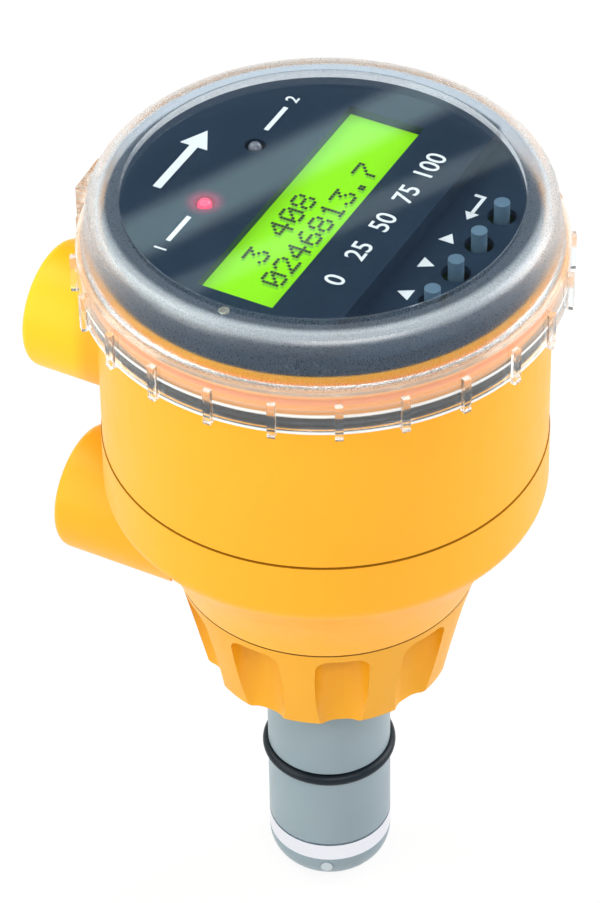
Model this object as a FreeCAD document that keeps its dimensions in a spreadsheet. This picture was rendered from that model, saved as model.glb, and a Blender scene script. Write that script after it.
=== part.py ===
import FreeCAD, Part
import math
import os
from types import SimpleNamespace

import Sketcher

# Insertion electromagnetic flow meter with an integral display.
# The frame: Z is the axis of the sensor shaft and points up, from the wetted tip to the display;
# z = 0 is the joint between the shaft and the metal ground ring; +X is the display's reading
# direction and +Y its upper side, which is also the side that both conduit ports point to.
# Lengths are in millimetres and angles in degrees.

DIMENSIONS = (
    # sensor shaft
    ("shaft_radius", 13.35, "outside of the sensor shaft"),
    ("shaft_wall", 3.15, "wall of the shaft"),
    ("shaft_length", 57.5, "length of the shaft below its collar"),
    ("collar_radius", 19.6, "outside of the collar that seats on the pipe fitting"),
    ("collar_height", 5.7, "thickness of the collar"),
    ("stem_thread_radius", 13.5, "threaded top of the stem"),
    ("stem_shoulder", 1.4, "how much wider the stem is below its thread"),
    ("stem_length", 10.75, "length of the stem from the collar to the housing"),
    ("stem_end", 3.2, "thread left free above the stem nut"),
    ("shaft_ring_section", 1.3, "radius of a shaft O-ring's section"),
    ("shaft_ring_sink", 0.13, "how far an O-ring's centre line lies inside the shaft's skin"),
    ("shaft_ring_low", 19.8, "height of the lower O-ring"),
    ("shaft_ring_pitch", 23.2, "distance between the O-rings"),
    ("shaft_groove_width", 3.4, "width of an O-ring groove"),
    # ground ring and tip
    ("ring_gap", 0.55, "dark joint between the shaft and the ground ring"),
    ("ring_height", 4.25, "height of the ground ring"),
    ("ring_wall", 1.65, "wall of the ground ring"),
    ("tip_length", 8.2, "length of the tip below the ground ring"),
    ("tip_round", 7.4, "round between the tip's side and its end"),
    ("tip_spigot_height", 8.0, "reach of the tip's spigot into the shaft"),
    ("tip_spigot_wall", 1.85, "wall of the tip's spigot"),
    ("tip_ledge", 1.3, "width of the ledge that carries the coil bobbin"),
    ("tip_well_depth", 5.5, "depth of the well below the ledge"),
    ("tip_ledge_depth", 3.0, "depth of the ledge below the joint"),
    ("electrode_radius", 1.3, "radius of an electrode pin"),
    ("electrode_rise", 6.1, "height of the electrodes above the tip's end"),
    ("electrode_reach", 0.6, "how far an electrode reaches into the well"),
    ("electrode_stand_out", 0.1, "how far an electrode stands out past the shaft's radius"),
    ("electrode_angle", 24.4, "direction of the first electrode"),
    # magnet coil and preamplifier
    ("core_radius", 2.5, "radius of the coil core"),
    ("core_end", 5.0, "length of the core above the bobbin"),
    ("bobbin_height", 30.0, "height of the bobbin"),
    ("bobbin_wall", 0.8, "wall of the bobbin's tube"),
    ("bobbin_flange", 1.0, "thickness of a bobbin flange"),
    ("bobbin_gap", 0.3, "free space round the bobbin"),
    ("winding_gap", 0.4, "how far the winding stays inside the bobbin's flanges"),
    ("sensor_board_width", 15.0, "width of the preamplifier board"),
    ("sensor_board_height", 29.0, "height of the preamplifier board"),
    ("sensor_board_gap", 0.7, "distance between the board and the coil core"),
    # sensor cap
    ("cap_height", 24.85, "height of the cap"),
    ("cap_gap", 0.3, "free space above the cap, and above the collar inside it"),
    ("cap_thread_gap", 1.3, "space between the collar and the cap's threaded bore"),
    ("cap_wall", 5.3, "wall of the cap at its lower edge"),
    ("cap_inset", 0.05, "how far the cap's upper edge lies inside the housing's neck"),
    ("cap_edge_chamfer", 0.5, "chamfer on the cap's lower edges"),
    ("flute_count", 10, "number of finger flutes"),
    ("flute_width", 11.4, "width of a flute"),
    ("flute_wall", 3.6, "wall left between the threaded bore and a flute's floor"),
    ("flute_corner", 4.8, "round between a flute's floor and its sides"),
    ("flute_land", 2.0, "height of the plain band above the flutes"),
    ("flute_arch", 3.2, "round under the flute's upper end"),
    ("flute_phase", -2.3, "direction of the first flute"),
    # housings
    ("housing_bore", 43.0, "inner radius of both housings"),
    ("lower_height", 37.05, "height of the lower housing above its neck's end"),
    ("lower_wall", 3.25, "wall of the lower housing"),
    ("lower_band", 13.2, "height of the lower housing's upright wall"),
    ("neck_radius", 31.85, "outside of the lower housing at its lowest face"),
    ("neck_wall", 4.35, "wall of the neck at the inner floor"),
    ("flare_mid_swell", 4.65, "growth of the radius where the flare changes slope"),
    ("flare_mid_rise", 11.05, "height above the neck's end where the flare changes slope"),
    ("flare_sweep", 60.0, "round between the two slopes of the flare"),
    ("flare_edge_round", 4.6, "round between the flare and the wall"),
    ("flare_wall", 2.2, "step inwards to the inner side of the flare"),
    ("flare_lift", 5.0, "step upwards to the inner side of the flare"),
    ("flare_top_lift", 3.7, "step upwards to the inner side at the flare's top"),
    ("floor_thickness", 5.05, "thickness of the lower housing's floor"),
    ("flange_width", 7.5, "width of the joining flanges inside the housings"),
    ("lower_flange_height", 6.0, "thickness of the lower housing's flange"),
    ("cap_clearance", 1.2, "free space between the lower port and the cap"),
    ("seam_gap", 0.4, "thickness of the gasket between the housings"),
    ("upper_height", 48.6, "height of the upper housing"),
    ("upper_wall", 3.05, "wall of the upper housing"),
    ("upper_flange_height", 4.0, "thickness of the upper housing's flange"),
    ("column_inset", 5.5, "distance of the board columns' axes from the inner wall"),
    ("column_radius", 6.0, "radius of a board column"),
    ("column_angle", 30.0, "direction of the first board column"),
    # neck for the cover, with its seal
    ("cover_neck_height", 11.4, "height of the neck that the cover goes over"),
    ("cover_neck_wall", 2.3, "wall of that neck"),
    ("ridge_depth", 1.6, "how far a ridge stands out of the neck"),
    ("ridge_height", 1.2, "height of a ridge"),
    ("ridge_pitch", 2.8, "distance between the two ridges"),
    ("ridge_drop", 6.4, "distance of the lower ridge below the rim"),
    ("seal_height", 2.0, "height of the cover seal"),
    ("seal_sink", 0.5, "depth of the seal's groove in the neck"),
    ("seal_stand_out", 0.3, "how far the seal stands out past the ridges"),
    ("seal_round", 0.9, "round on the cover seal's outer edges"),
    # conduit ports
    ("port_offset", -7.0, "sideways place of both ports"),
    ("port_thread_radius", 10.4, "threaded bore of a port, for half-inch conduit"),
    ("port_wall", 3.35, "wall of a port hub"),
    ("port_edge_round", 2.0, "round on a hub's outer edge"),
    ("upper_port_rise", 14.1, "height of the upper port's axis above the upper housing's edge"),
    ("upper_port_reach", 60.2, "distance of the upper port's end from the axis"),
    ("upper_port_depth", 13.0, "depth of the upper port's thread"),
    ("lower_port_rise", 3.25, "height of the lower port's axis above the neck's end"),
    ("lower_port_reach", 55.2, "distance of the lower port's end from the axis"),
    ("lower_port_depth", 20.0, "depth of the lower port's thread"),
    ("upper_wire_radius", 8.0, "wire hole through the upper housing's wall"),
    ("lower_wire_radius", 3.4, "wire hole through the lower housing's wall"),
    ("lower_wire_rise", 6.4, "height of the lower wire hole above the port's axis"),
    # seals and fasteners
    ("gasket_inset", 0.45, "how far the gasket stays inside the housings' skin"),
    ("gasket_lap", 1.8, "how far the gasket reaches over the flanges"),
    ("screw_inset", 4.0, "distance of the housing screws' axes from the inner wall"),
    ("screw_radius", 1.4, "radius of a screw's shank"),
    ("screw_head_radius", 2.7, "radius of a screw's head"),
    ("screw_head_height", 2.0, "height of a screw's head"),
    ("screw_socket_radius", 1.25, "radius of the hexagon in a screw's head"),
    ("screw_socket_depth", 1.2, "depth of the hexagon in a screw's head"),
    ("board_screw_length", 6.5, "length of a board screw's shank"),
    ("nut_wall", 5.5, "growth from the stem's thread to the nut's corners"),
    ("nut_height", 5.6, "height of the stem nut"),
    ("washer_width", 6.0, "width of the washer under the stem nut"),
    ("washer_height", 1.2, "thickness of the washer under the stem nut"),
    # boards and what stands on them
    ("board_thickness", 1.6, "thickness of a circuit board"),
    ("main_board_gap", 3.2, "free space round the main board"),
    ("display_board_drop", 7.0, "distance of the display board's underside below the rim"),
    ("display_board_gap", 0.5, "free space round the display board"),
    ("standoff_radius", 3.1, "radius over the corners of a standoff"),
    ("standoff_length", 11.9, "length of a standoff between the boards"),
    ("standoff_stud", 6.0, "reach of a standoff's stud into its column"),
    ("column_hole_end", 1.0, "free depth under a standoff's stud"),
    ("relay_length", 20.0, "length of a relay"),
    ("relay_width", 10.0, "width of a relay"),
    ("relay_height", 10.2, "height of a relay"),
    ("relay_gap", 6.0, "space between the two relays"),
    ("terminal_pitch", 5.08, "pitch of the terminals"),
    ("terminal_depth", 8.2, "depth of a terminal block"),
    ("terminal_height", 10.0, "height of a terminal block"),
    ("terminal_count", 6, "number of terminals in a block"),
    ("power_block_place", -23.0, "place of the power terminal block along Y"),
    ("relay_block_place", 25.0, "place of the relay terminal block along Y"),
    ("terminal_screw_radius", 1.7, "radius of a terminal screw"),
    ("terminal_screw_height", 1.2, "height of a terminal screw"),
    ("terminal_slot_width", 0.5, "width of the slot in a terminal screw"),
    ("wire_entry_width", 3.2, "width of a terminal's wire entry"),
    ("wire_entry_height", 3.6, "height of a terminal's wire entry"),
    ("wire_entry_rise", 1.5, "height of a terminal's wire entry above the board"),
    # display
    ("bezel_height", 7.2, "height of the display face above the rim"),
    ("bezel_plate", 2.0, "thickness of the display face"),
    ("bezel_wall", 2.0, "wall of the bezel's drum"),
    ("bezel_inset", 0.4, "how far the bezel's foot lies inside the neck's skin"),
    ("bezel_taper", 1.6, "how much narrower the bezel is at its face"),
    ("bezel_edge_round", 0.6, "round on the bezel's upper edge"),
    ("bezel_skirt_depth", 4.0, "reach of the bezel's skirt into the upper housing"),
    ("deck_drop", 4.1, "depth of the lower deck around the buttons"),
    ("deck_plate", 1.6, "thickness of the deck"),
    ("deck_line", -20.35, "place of the step down to the deck along Y"),
    ("window_width", 64.8, "width of the display opening"),
    ("window_height", 16.7, "height of the display opening"),
    ("window_place", 1.55, "place of the display opening along Y"),
    ("window_offset", -1.4, "place of the display opening along X"),
    ("lcd_gap", 0.3, "free space between the display glass and the bezel"),
    ("lcd_thickness", 2.6, "thickness of the display glass"),
    ("lcd_margin", 2.2, "display glass hidden under each edge of the opening"),
    ("backlight_thickness", 3.4, "thickness of the backlight"),
    ("lcd_board_width", 72.0, "width of the display module's board"),
    ("lcd_board_depth", 30.0, "depth of the display module's board"),
    ("header_length", 40.0, "length of the pin header under the display module"),
    ("header_width", 2.5, "width of the pin header"),
    ("led_radius", 1.5, "radius of a status lamp"),
    ("led_stand_out", 0.7, "how far a lamp's dome stands out of the display face"),
    ("led_length", 4.4, "length of a lamp's body"),
    ("led_foot_lip", 0.4, "how much wider a lamp's foot and spacer are"),
    ("led_foot_height", 0.7, "height of a lamp's foot"),
    ("led_spacing", 21.0, "distance between the two lamps"),
    ("led_place", 20.95, "place of the lamps along Y"),
    ("led_hole_gap", 0.7, "free space round a lamp in the bezel"),
    # buttons
    ("button_radius", 1.62, "radius of a button pin"),
    ("button_stand_out", 3.5, "height of a button's end above the deck"),
    ("button_first", -13.6, "place of the first button along X"),
    ("button_pitch", 10.2, "distance between buttons"),
    ("button_place", -31.2, "place of the buttons along Y"),
    ("button_hole_gap", 1.33, "free space round a button in the deck"),
    ("button_travel", 0.3, "free space under a button"),
    ("switch_width", 6.0, "width of a switch body"),
    ("switch_height", 3.6, "height of a switch body"),
    ("switch_well_depth", 2.0, "depth of the well that guides a button"),
    ("button_fit", 0.08, "radial clearance of a button in its switch"),
    # clear cover
    ("cover_rise", 10.5, "height of the cover's window above the rim"),
    ("cover_plate", 2.1, "thickness of the window"),
    ("cover_ring_width", 6.3, "width of the textured ring round the window"),
    ("cover_step", 0.3, "depth of the textured ring below the window"),
    ("cover_shoulder_round", 3.4, "round on the shoulder"),
    ("cover_wall", 2.0, "wall of the cover"),
    ("cover_taper", 1.6, "how much narrower the cover's wall is at its top"),
    ("cover_foot_drop", 0.6, "distance of the sloping wall's foot below the rim"),
    ("cover_skirt_rise", 0.9, "height of the slope from the wall to the skirt"),
    ("cover_reach", 11.0, "distance of the skirt's lower edge below the rim"),
    ("cover_skirt_gap", 0.6, "free space between the ridges and the skirt"),
    ("cover_neck_gap", 1.0, "free space between the neck and the sloping wall's foot"),
    ("cover_shelf_drop", 1.2, "distance of the shelf inside the skirt below the rim"),
    ("cover_inner_round", 1.0, "round inside the shoulder"),
    ("rib_count", 24, "number of grip ribs"),
    ("rib_width", 1.6, "width of a grip rib"),
    ("rib_depth", 1.2, "how far a rib stands out of the skirt"),
    ("rib_foot", 0.7, "how far a rib reaches below the skirt"),
    ("rib_height", 8.3, "height of a rib"),
    ("rib_phase", 1.2, "direction of the first rib"),
    ("lug_angle", 94.5, "direction of the locking lug"),
    ("lug_width", 10.6, "width of the locking lug"),
    ("lug_depth", 2.7, "how far the locking lug stands out of the skirt"),
    ("lug_height", 8.4, "height of the locking lug"),
    ("lug_rise", 2.0, "distance of the lug's underside above the skirt's lower edge"),
    # clearances
    ("fit", 0.05, "clearance of a piece in its seat"),
    ("cap_fit", 0.08, "radial clearance of the cap on its stem"),
)

doc = FreeCAD.newDocument("flow_meter")
sheet = doc.addObject("Spreadsheet::Sheet", "Dims")


class Size:
    """A length as a number and as the spreadsheet expression that it comes from."""

    def __init__(self, value, text):
        self.value = value
        self.text = text

    def __add__(self, other):
        other = size_of(other)
        return Size(self.value + other.value, f"({self.text} + {other.text})")

    def __sub__(self, other):
        other = size_of(other)
        return Size(self.value - other.value, f"({self.text} - {other.text})")

    def __mul__(self, other):
        other = size_of(other)
        return Size(self.value * other.value, f"({self.text} * {other.text})")

    def __truediv__(self, other):
        other = size_of(other)
        return Size(self.value / other.value, f"({self.text} / {other.text})")

    def __neg__(self):
        return Size(-self.value, f"(0 - {self.text})")


def size_of(number):
    """A size from a plain number; a size stays as it is."""
    return number if isinstance(number, Size) else Size(number, repr(number))


def fill_sheet():
    """Write the driving dimensions to the sheet and return them by name."""
    named = SimpleNamespace()
    for row, (alias, value, meaning) in enumerate(DIMENSIONS, start=1):
        sheet.set(f"A{row}", alias)
        sheet.set(f"B{row}", str(value))
        sheet.set(f"C{row}", meaning)
        sheet.setAlias(f"B{row}", alias)
        setattr(named, alias, Size(value, f"Dims.{alias}"))
    doc.recompute()
    return named


d = fill_sheet()
ZERO = Size(0, "0")

# Places and radii that follow from the sheet, from the tip upwards and from the axis outwards.
d.shaft_bore = d.shaft_radius - d.shaft_wall
d.ring_low = -(d.ring_gap + d.ring_height)
d.ring_inner_radius = d.shaft_radius - d.ring_wall
d.tip_bottom = d.ring_low - d.tip_length
d.tip_bore = d.shaft_bore - d.fit - d.tip_spigot_wall
d.tip_well_radius = d.tip_bore - d.tip_ledge
d.coil_seat = -d.tip_ledge_depth
d.tip_well_floor = d.coil_seat - d.tip_well_depth
d.electrode_height = d.tip_bottom + d.electrode_rise
d.electrode_inner = d.tip_well_radius - d.electrode_reach
d.bobbin_top = d.coil_seat + d.bobbin_height
d.bobbin_radius = d.tip_bore - d.bobbin_gap
d.winding_radius = d.bobbin_radius - d.winding_gap
d.core_top = d.bobbin_top + d.core_end
d.shaft_ring_centre = d.shaft_radius - d.shaft_ring_sink
d.shaft_ring_high = d.shaft_ring_low + d.shaft_ring_pitch
d.collar_top = d.shaft_length + d.collar_height
d.stem_radius = d.stem_thread_radius + d.stem_shoulder
d.neck_bottom = d.collar_top + d.stem_length
d.cap_top = d.neck_bottom - d.cap_gap
d.cap_bottom = d.cap_top - d.cap_height
d.cap_thread_radius = d.collar_radius + d.cap_thread_gap
d.cap_low_radius = d.cap_thread_radius + d.cap_wall
d.cap_top_radius = d.neck_radius - d.cap_inset
d.flute_floor = d.cap_thread_radius + d.flute_wall
d.housing_floor = d.neck_bottom + d.floor_thickness
d.nut_seat = d.housing_floor + d.washer_height
d.stem_top = d.nut_seat + d.nut_height + d.stem_end
d.floor_radius = d.neck_radius - d.neck_wall
d.seam_height = d.neck_bottom + d.lower_height
d.lower_radius = d.housing_bore + d.lower_wall
d.flare_mid_radius = d.neck_radius + d.flare_mid_swell
d.flare_mid_height = d.neck_bottom + d.flare_mid_rise
d.flare_top_height = d.seam_height - d.lower_band
d.flange_radius = d.housing_bore - d.flange_width
d.upper_low = d.seam_height + d.seam_gap
d.upper_radius = d.housing_bore + d.upper_wall
d.rim_height = d.upper_low + d.upper_height
d.neck_start = d.rim_height - d.cover_neck_height
d.cover_neck_radius = d.housing_bore + d.cover_neck_wall
d.ridge_radius = d.cover_neck_radius + d.ridge_depth
d.ridge_low = d.rim_height - d.ridge_drop
d.ridge_high = d.ridge_low + d.ridge_pitch
d.seal_low = d.neck_start
d.seal_high = d.seal_low + d.seal_height
d.seal_inner_radius = d.cover_neck_radius - d.seal_sink
d.seal_outer_radius = d.ridge_radius + d.seal_stand_out
d.port_radius = d.port_thread_radius + d.port_wall
d.upper_port_height = d.upper_low + d.upper_port_rise
d.lower_port_height = d.neck_bottom + d.lower_port_rise
d.lower_wire_height = d.lower_port_height + d.lower_wire_rise
d.screw_circle = d.housing_bore - d.screw_inset
d.column_circle = d.housing_bore - d.column_inset
d.bezel_skirt_radius = d.housing_bore - d.fit * 2
d.display_board_radius = d.bezel_skirt_radius - d.bezel_wall - d.display_board_gap
d.main_board_radius = d.housing_bore - d.main_board_gap
d.display_board_height = d.rim_height - d.display_board_drop
d.main_board_top = d.display_board_height - d.standoff_length
d.main_board_height = d.main_board_top - d.board_thickness
d.switch_seat = d.display_board_height + d.board_thickness
d.bezel_top = d.rim_height + d.bezel_height
d.bezel_foot_radius = d.cover_neck_radius - d.bezel_inset
d.bezel_top_radius = d.bezel_foot_radius - d.bezel_taper
d.deck_top = d.bezel_top - d.deck_drop
d.lcd_top = d.bezel_top - d.bezel_plate - d.lcd_gap
d.led_top = d.bezel_top + d.led_stand_out
d.led_foot_radius = d.led_radius + d.led_foot_lip
d.button_top = d.deck_top + d.button_stand_out
d.cover_top = d.rim_height + d.cover_rise
d.cover_bottom = d.rim_height - d.cover_reach
d.cover_shelf = d.rim_height - d.cover_shelf_drop
d.cover_foot = d.rim_height - d.cover_foot_drop
d.cover_skirt_bore = d.ridge_radius + d.cover_skirt_gap
d.cover_skirt_radius = d.cover_skirt_bore + d.cover_wall
d.cover_inner_low = d.cover_neck_radius + d.cover_neck_gap
d.cover_inner_top = d.cover_inner_low - d.cover_taper
d.cover_wall_low_radius = d.cover_inner_low + d.cover_wall
d.cover_shoulder_radius = d.cover_inner_top + d.cover_wall
d.cover_window_radius = d.cover_shoulder_radius - d.cover_ring_width
d.rib_low = d.cover_bottom - d.rib_foot

subparts = []


# ---------------------------------------------------------------- helpers

def keep(label, item):
    """Mark a document object as a sub-part under the name of its file."""
    item.Label = label
    subparts.append(item)
    return item


def bind(item, **sizes):
    """Tie properties of a document object to the sheet."""
    for name, size in sizes.items():
        size = size_of(size)
        setattr(item, name, size.value)
        item.setExpression(name, size.text)


def move(item, x=ZERO, y=ZERO, z=ZERO, turn=None):
    """Place a document object, with its position tied to the sheet."""
    x, y, z = size_of(x), size_of(y), size_of(z)
    rotation = FreeCAD.Rotation() if turn is None else turn
    item.Placement = FreeCAD.Placement(FreeCAD.Vector(x.value, y.value, z.value), rotation)
    for axis, size in (("x", x), ("y", y), ("z", z)):
        item.setExpression(f"Placement.Base.{axis}", size.text)
    return item


def polar(radius, angle):
    """The X and Y of a point at a radius and an angle about the axis."""
    radius, angle = size_of(radius), size_of(angle)
    turn = math.radians(angle.value)
    return (Size(radius.value * math.cos(turn), f"({radius.text} * cos({angle.text}))"),
            Size(radius.value * math.sin(turn), f"({radius.text} * sin({angle.text}))"))


def block(name, width, depth, height, x=ZERO, y=ZERO, z=ZERO):
    """A box centred on X and Y, standing on z."""
    width, depth = size_of(width), size_of(depth)
    box = doc.addObject("Part::Box", name)
    bind(box, Length=width, Width=depth, Height=height)
    return move(box, size_of(x) - width / 2, size_of(y) - depth / 2, z)


def rod(name, radius, height, x=ZERO, y=ZERO, z=ZERO, turn=None):
    """An upright cylinder standing on z, or one turned by a rotation."""
    cylinder = doc.addObject("Part::Cylinder", name)
    bind(cylinder, Radius=radius, Height=height)
    return move(cylinder, x, y, z, turn)


def hexagon(name, radius, height, x=ZERO, y=ZERO, z=ZERO):
    """An upright hexagonal prism standing on z."""
    prism = doc.addObject("Part::Prism", name)
    prism.Polygon = 6
    bind(prism, Circumradius=radius, Height=height)
    return move(prism, x, y, z)


def gathered(name, items):
    """Several separate solids kept as one object."""
    group = doc.addObject("Part::Compound", name)
    group.Links = items
    return group


def cut(name, base, *tools):
    """A solid with the tools taken away."""
    result = doc.addObject("Part::Cut", name)
    result.Base = base
    result.Tool = tools[0] if len(tools) == 1 else gathered(name + "_tools", list(tools))
    return result


def fuse(name, base, tool):
    """Two solids joined into one."""
    result = doc.addObject("Part::Fuse", name)
    result.Base = base
    result.Tool = tool
    return result


def plane_of(body, role):
    """One of the body's own origin planes."""
    for feature in body.Origin.OriginFeatures:
        if feature.Role == role:
            return feature
    raise ValueError(role)


def sketch_on(body, name, role, offset=ZERO, turn=0.0):
    """A sketch on an origin plane, shifted along the plane's normal and turned in it."""
    sketch = body.newObject("Sketcher::SketchObject", name)
    sketch.AttachmentSupport = [(plane_of(body, role), "")]
    sketch.MapMode = "FlatFace"
    rotation = FreeCAD.Rotation(FreeCAD.Vector(0, 0, 1), size_of(turn).value)
    sketch.AttachmentOffset = FreeCAD.Placement(FreeCAD.Vector(0, 0, offset.value), rotation)
    sketch.setExpression("AttachmentOffset.Base.z", offset.text)
    return sketch


def pin_down(sketch, item, vertex, u, v):
    """Tie a vertex of the sketch to a pair of sizes."""
    for kind, axis, size in (("DistanceX", -2, size_of(u)), ("DistanceY", -1, size_of(v))):
        if size.value == 0:
            sketch.addConstraint(Sketcher.Constraint("PointOnObject", item, vertex, axis))
        else:
            index = sketch.addConstraint(Sketcher.Constraint(kind, item, vertex, size.value))
            sketch.setExpression(f"Constraints[{index}]", size.text)


def outline(sketch, corners):
    """A closed outline of straight sides through the corners."""
    points = [FreeCAD.Vector(size_of(u).value, size_of(v).value, 0) for u, v in corners]
    sides = []
    for start, end in zip(points, points[1:] + points[:1]):
        sides.append(sketch.addGeometry(Part.LineSegment(start, end), False))
    for side, following in zip(sides, sides[1:] + sides[:1]):
        sketch.addConstraint(Sketcher.Constraint("Coincident", side, 2, following, 1))
    for side, (u, v) in zip(sides, corners):
        pin_down(sketch, side, 1, u, v)


def circle(sketch, u, v, radius):
    """A circle whose centre and radius are tied to the sheet."""
    u, v, radius = size_of(u), size_of(v), size_of(radius)
    centre = FreeCAD.Vector(u.value, v.value, 0)
    item = sketch.addGeometry(Part.Circle(centre, FreeCAD.Vector(0, 0, 1), radius.value), False)
    pin_down(sketch, item, 3, u, v)
    index = sketch.addConstraint(Sketcher.Constraint("Radius", item, radius.value))
    sketch.setExpression(f"Constraints[{index}]", radius.text)


def rounded_slot(sketch, floor, mouth, width, corner):
    """A slot open towards +X whose two inner corners are rounded."""
    half = width / 2
    low, high = floor.value + corner.value, half.value - corner.value
    top = FreeCAD.Vector(0, 0, 1)
    lines = []
    for start, end in (((mouth.value, -half.value), (low, -half.value)),
                       ((floor.value, -high), (floor.value, high)),
                       ((low, half.value), (mouth.value, half.value)),
                       ((mouth.value, half.value), (mouth.value, -half.value))):
        lines.append(sketch.addGeometry(Part.LineSegment(FreeCAD.Vector(*start, 0),
                                                         FreeCAD.Vector(*end, 0)), False))
    arcs = []
    for centre, start, end in (((low, -high), math.pi, 1.5 * math.pi),
                               ((low, high), 0.5 * math.pi, math.pi)):
        ring = Part.Circle(FreeCAD.Vector(*centre, 0), top, corner.value)
        arcs.append(sketch.addGeometry(Part.ArcOfCircle(ring, start, end), False))
    entry, back, leave, mouth_side = lines
    lower, upper = arcs
    for pair in ((entry, 2, lower, 2), (lower, 1, back, 1), (back, 2, upper, 2), (upper, 1, leave, 1)):
        sketch.addConstraint(Sketcher.Constraint("Tangent", *pair))
    for pair in ((leave, 2, mouth_side, 1), (mouth_side, 2, entry, 1)):
        sketch.addConstraint(Sketcher.Constraint("Coincident", *pair))
    sketch.addConstraint(Sketcher.Constraint("Equal", lower, upper))
    index = sketch.addConstraint(Sketcher.Constraint("Radius", lower, corner.value))
    sketch.setExpression(f"Constraints[{index}]", corner.text)
    pin_down(sketch, mouth_side, 1, mouth, half)
    pin_down(sketch, mouth_side, 2, mouth, -half)
    index = sketch.addConstraint(Sketcher.Constraint("DistanceX", back, 1, floor.value))
    sketch.setExpression(f"Constraints[{index}]", floor.text)
    sketch.addConstraint(Sketcher.Constraint("Vertical", back))


def turned(name, corners):
    """A body turned about Z from an outline of radius and height pairs."""
    body = doc.addObject("PartDesign::Body", name)
    sketch = sketch_on(body, name + "_section", "XZ_Plane")
    outline(sketch, corners)
    revolution = body.newObject("PartDesign::Revolution", name + "_turned")
    revolution.Profile = sketch
    revolution.ReferenceAxis = (sketch, ["V_Axis"])
    revolution.Angle = 360
    doc.recompute()
    return body


def grooved(body, name, corners):
    """Turn an outline of radius and height pairs out of a body."""
    before = body.Shape.Volume
    sketch = sketch_on(body, name + "_section", "XZ_Plane")
    outline(sketch, corners)
    groove = body.newObject("PartDesign::Groove", name)
    groove.Profile = sketch
    groove.ReferenceAxis = (sketch, ["V_Axis"])
    groove.Angle = 360
    doc.recompute()
    check_less(body, before, name)
    return groove


def padded(body, name, sketch, length, reverse=False):
    """Extrude a sketch into the body."""
    before = body.Shape.Volume
    pad = body.newObject("PartDesign::Pad", name)
    pad.Profile = sketch
    bind(pad, Length=length)
    pad.Reversed = reverse
    doc.recompute()
    if not body.Shape.Volume > before:
        raise RuntimeError(f"{name} adds nothing")
    return pad


def pocketed(body, name, sketch, length, reverse=False):
    """Extrude a sketch out of the body."""
    before = body.Shape.Volume
    pocket = body.newObject("PartDesign::Pocket", name)
    pocket.Profile = sketch
    bind(pocket, Length=length)
    pocket.Reversed = reverse
    doc.recompute()
    check_less(body, before, name)
    return pocket


def check_less(body, before, name):
    """A cut that takes nothing away points the wrong way."""
    if not body.Shape.Volume < before:
        raise RuntimeError(f"{name} cuts nothing")


def patterned(body, name, feature, count):
    """Repeat a feature about Z."""
    count = size_of(count)
    pattern = body.newObject("PartDesign::PolarPattern", name)
    pattern.Originals = [feature]
    pattern.Axis = (feature.Profile[0], ["N_Axis"])
    pattern.Angle = 360
    pattern.Occurrences = int(count.value)
    pattern.setExpression("Occurrences", count.text)
    body.Tip = pattern
    doc.recompute()
    return pattern


def rings_at(body, places):
    """Names of the body's circular edges about Z at given radius and height pairs."""
    names = []
    for index, edge in enumerate(body.Shape.Edges, start=1):
        curve = edge.Curve
        if not isinstance(curve, Part.Circle) or abs(curve.Axis.z) < 0.999:
            continue
        for radius, height in places:
            same_radius = abs(curve.Radius - size_of(radius).value) < 0.01
            same_height = abs(curve.Center.z - size_of(height).value) < 0.01
            if same_radius and same_height:
                names.append(f"Edge{index}")
    return names


def rounded(body, name, radius, names, kind="PartDesign::Fillet"):
    """Round or chamfer named edges of a body."""
    if not names:
        raise RuntimeError(f"{name} finds no edge")
    dressed = body.newObject(kind, name)
    dressed.Base = (body.Tip if body.Tip is not dressed else dressed.BaseFeature, names)
    if kind == "PartDesign::Fillet":
        bind(dressed, Radius=radius)
    else:
        bind(dressed, Size=radius)
    doc.recompute()
    return dressed


# ---------------------------------------------------------------- sensor: tip, ring, shaft


def make_tip():
    """Rounded tip with the spigot that carries the ground ring and enters the shaft."""
    body = turned("tip_blank", (
        (ZERO, d.tip_bottom), (d.shaft_radius, d.tip_bottom), (d.shaft_radius, d.ring_low),
        (d.ring_inner_radius - d.fit, d.ring_low), (d.ring_inner_radius - d.fit, -d.ring_gap),
        (d.shaft_radius - d.ring_gap, -d.ring_gap), (d.shaft_radius - d.ring_gap, ZERO),
        (d.shaft_bore - d.fit, ZERO), (d.shaft_bore - d.fit, d.tip_spigot_height),
        (d.tip_bore, d.tip_spigot_height), (d.tip_bore, d.coil_seat),
        (d.tip_well_radius, d.coil_seat), (d.tip_well_radius, d.tip_well_floor),
        (ZERO, d.tip_well_floor)))
    rounded(body, "tip_end_round", d.tip_round, rings_at(body, [(d.shaft_radius, d.tip_bottom)]))
    before = body.Shape.Volume
    bores = []
    for number, half_turn in enumerate((0, 180), start=1):
        bores.append(electrode_rod(f"electrode_bore_{number}", d.electrode_radius + d.fit, half_turn,
                                   d.electrode_inner - 2, d.shaft_radius + 2))
    tip = cut("tip_with_bores", body, *bores)
    doc.recompute()
    if not tip.Shape.Volume < before:
        raise RuntimeError("the electrode bores cut nothing")
    keep("sensor_tip", tip)


def electrode_rod(name, radius, half_turn, start, end):
    """A rod along an electrode's axis, from one distance from Z to another."""
    angle = d.electrode_angle + half_turn
    x, y = polar(start, angle)
    direction = FreeCAD.Vector(math.cos(math.radians(angle.value)), math.sin(math.radians(angle.value)), 0)
    turn = FreeCAD.Rotation(FreeCAD.Vector(0, 0, 1), direction)
    return rod(name, radius, size_of(end) - size_of(start), x, y, d.electrode_height, turn)


def make_electrodes():
    """Two metal pins through the tip's side, opposite each other."""
    for number, half_turn in enumerate((0, 180), start=1):
        pin = electrode_rod(f"electrode_pin_{number}", d.electrode_radius, half_turn,
                            d.electrode_inner, d.shaft_radius + d.electrode_stand_out)
        keep(f"electrode_{number}", pin)


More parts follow.
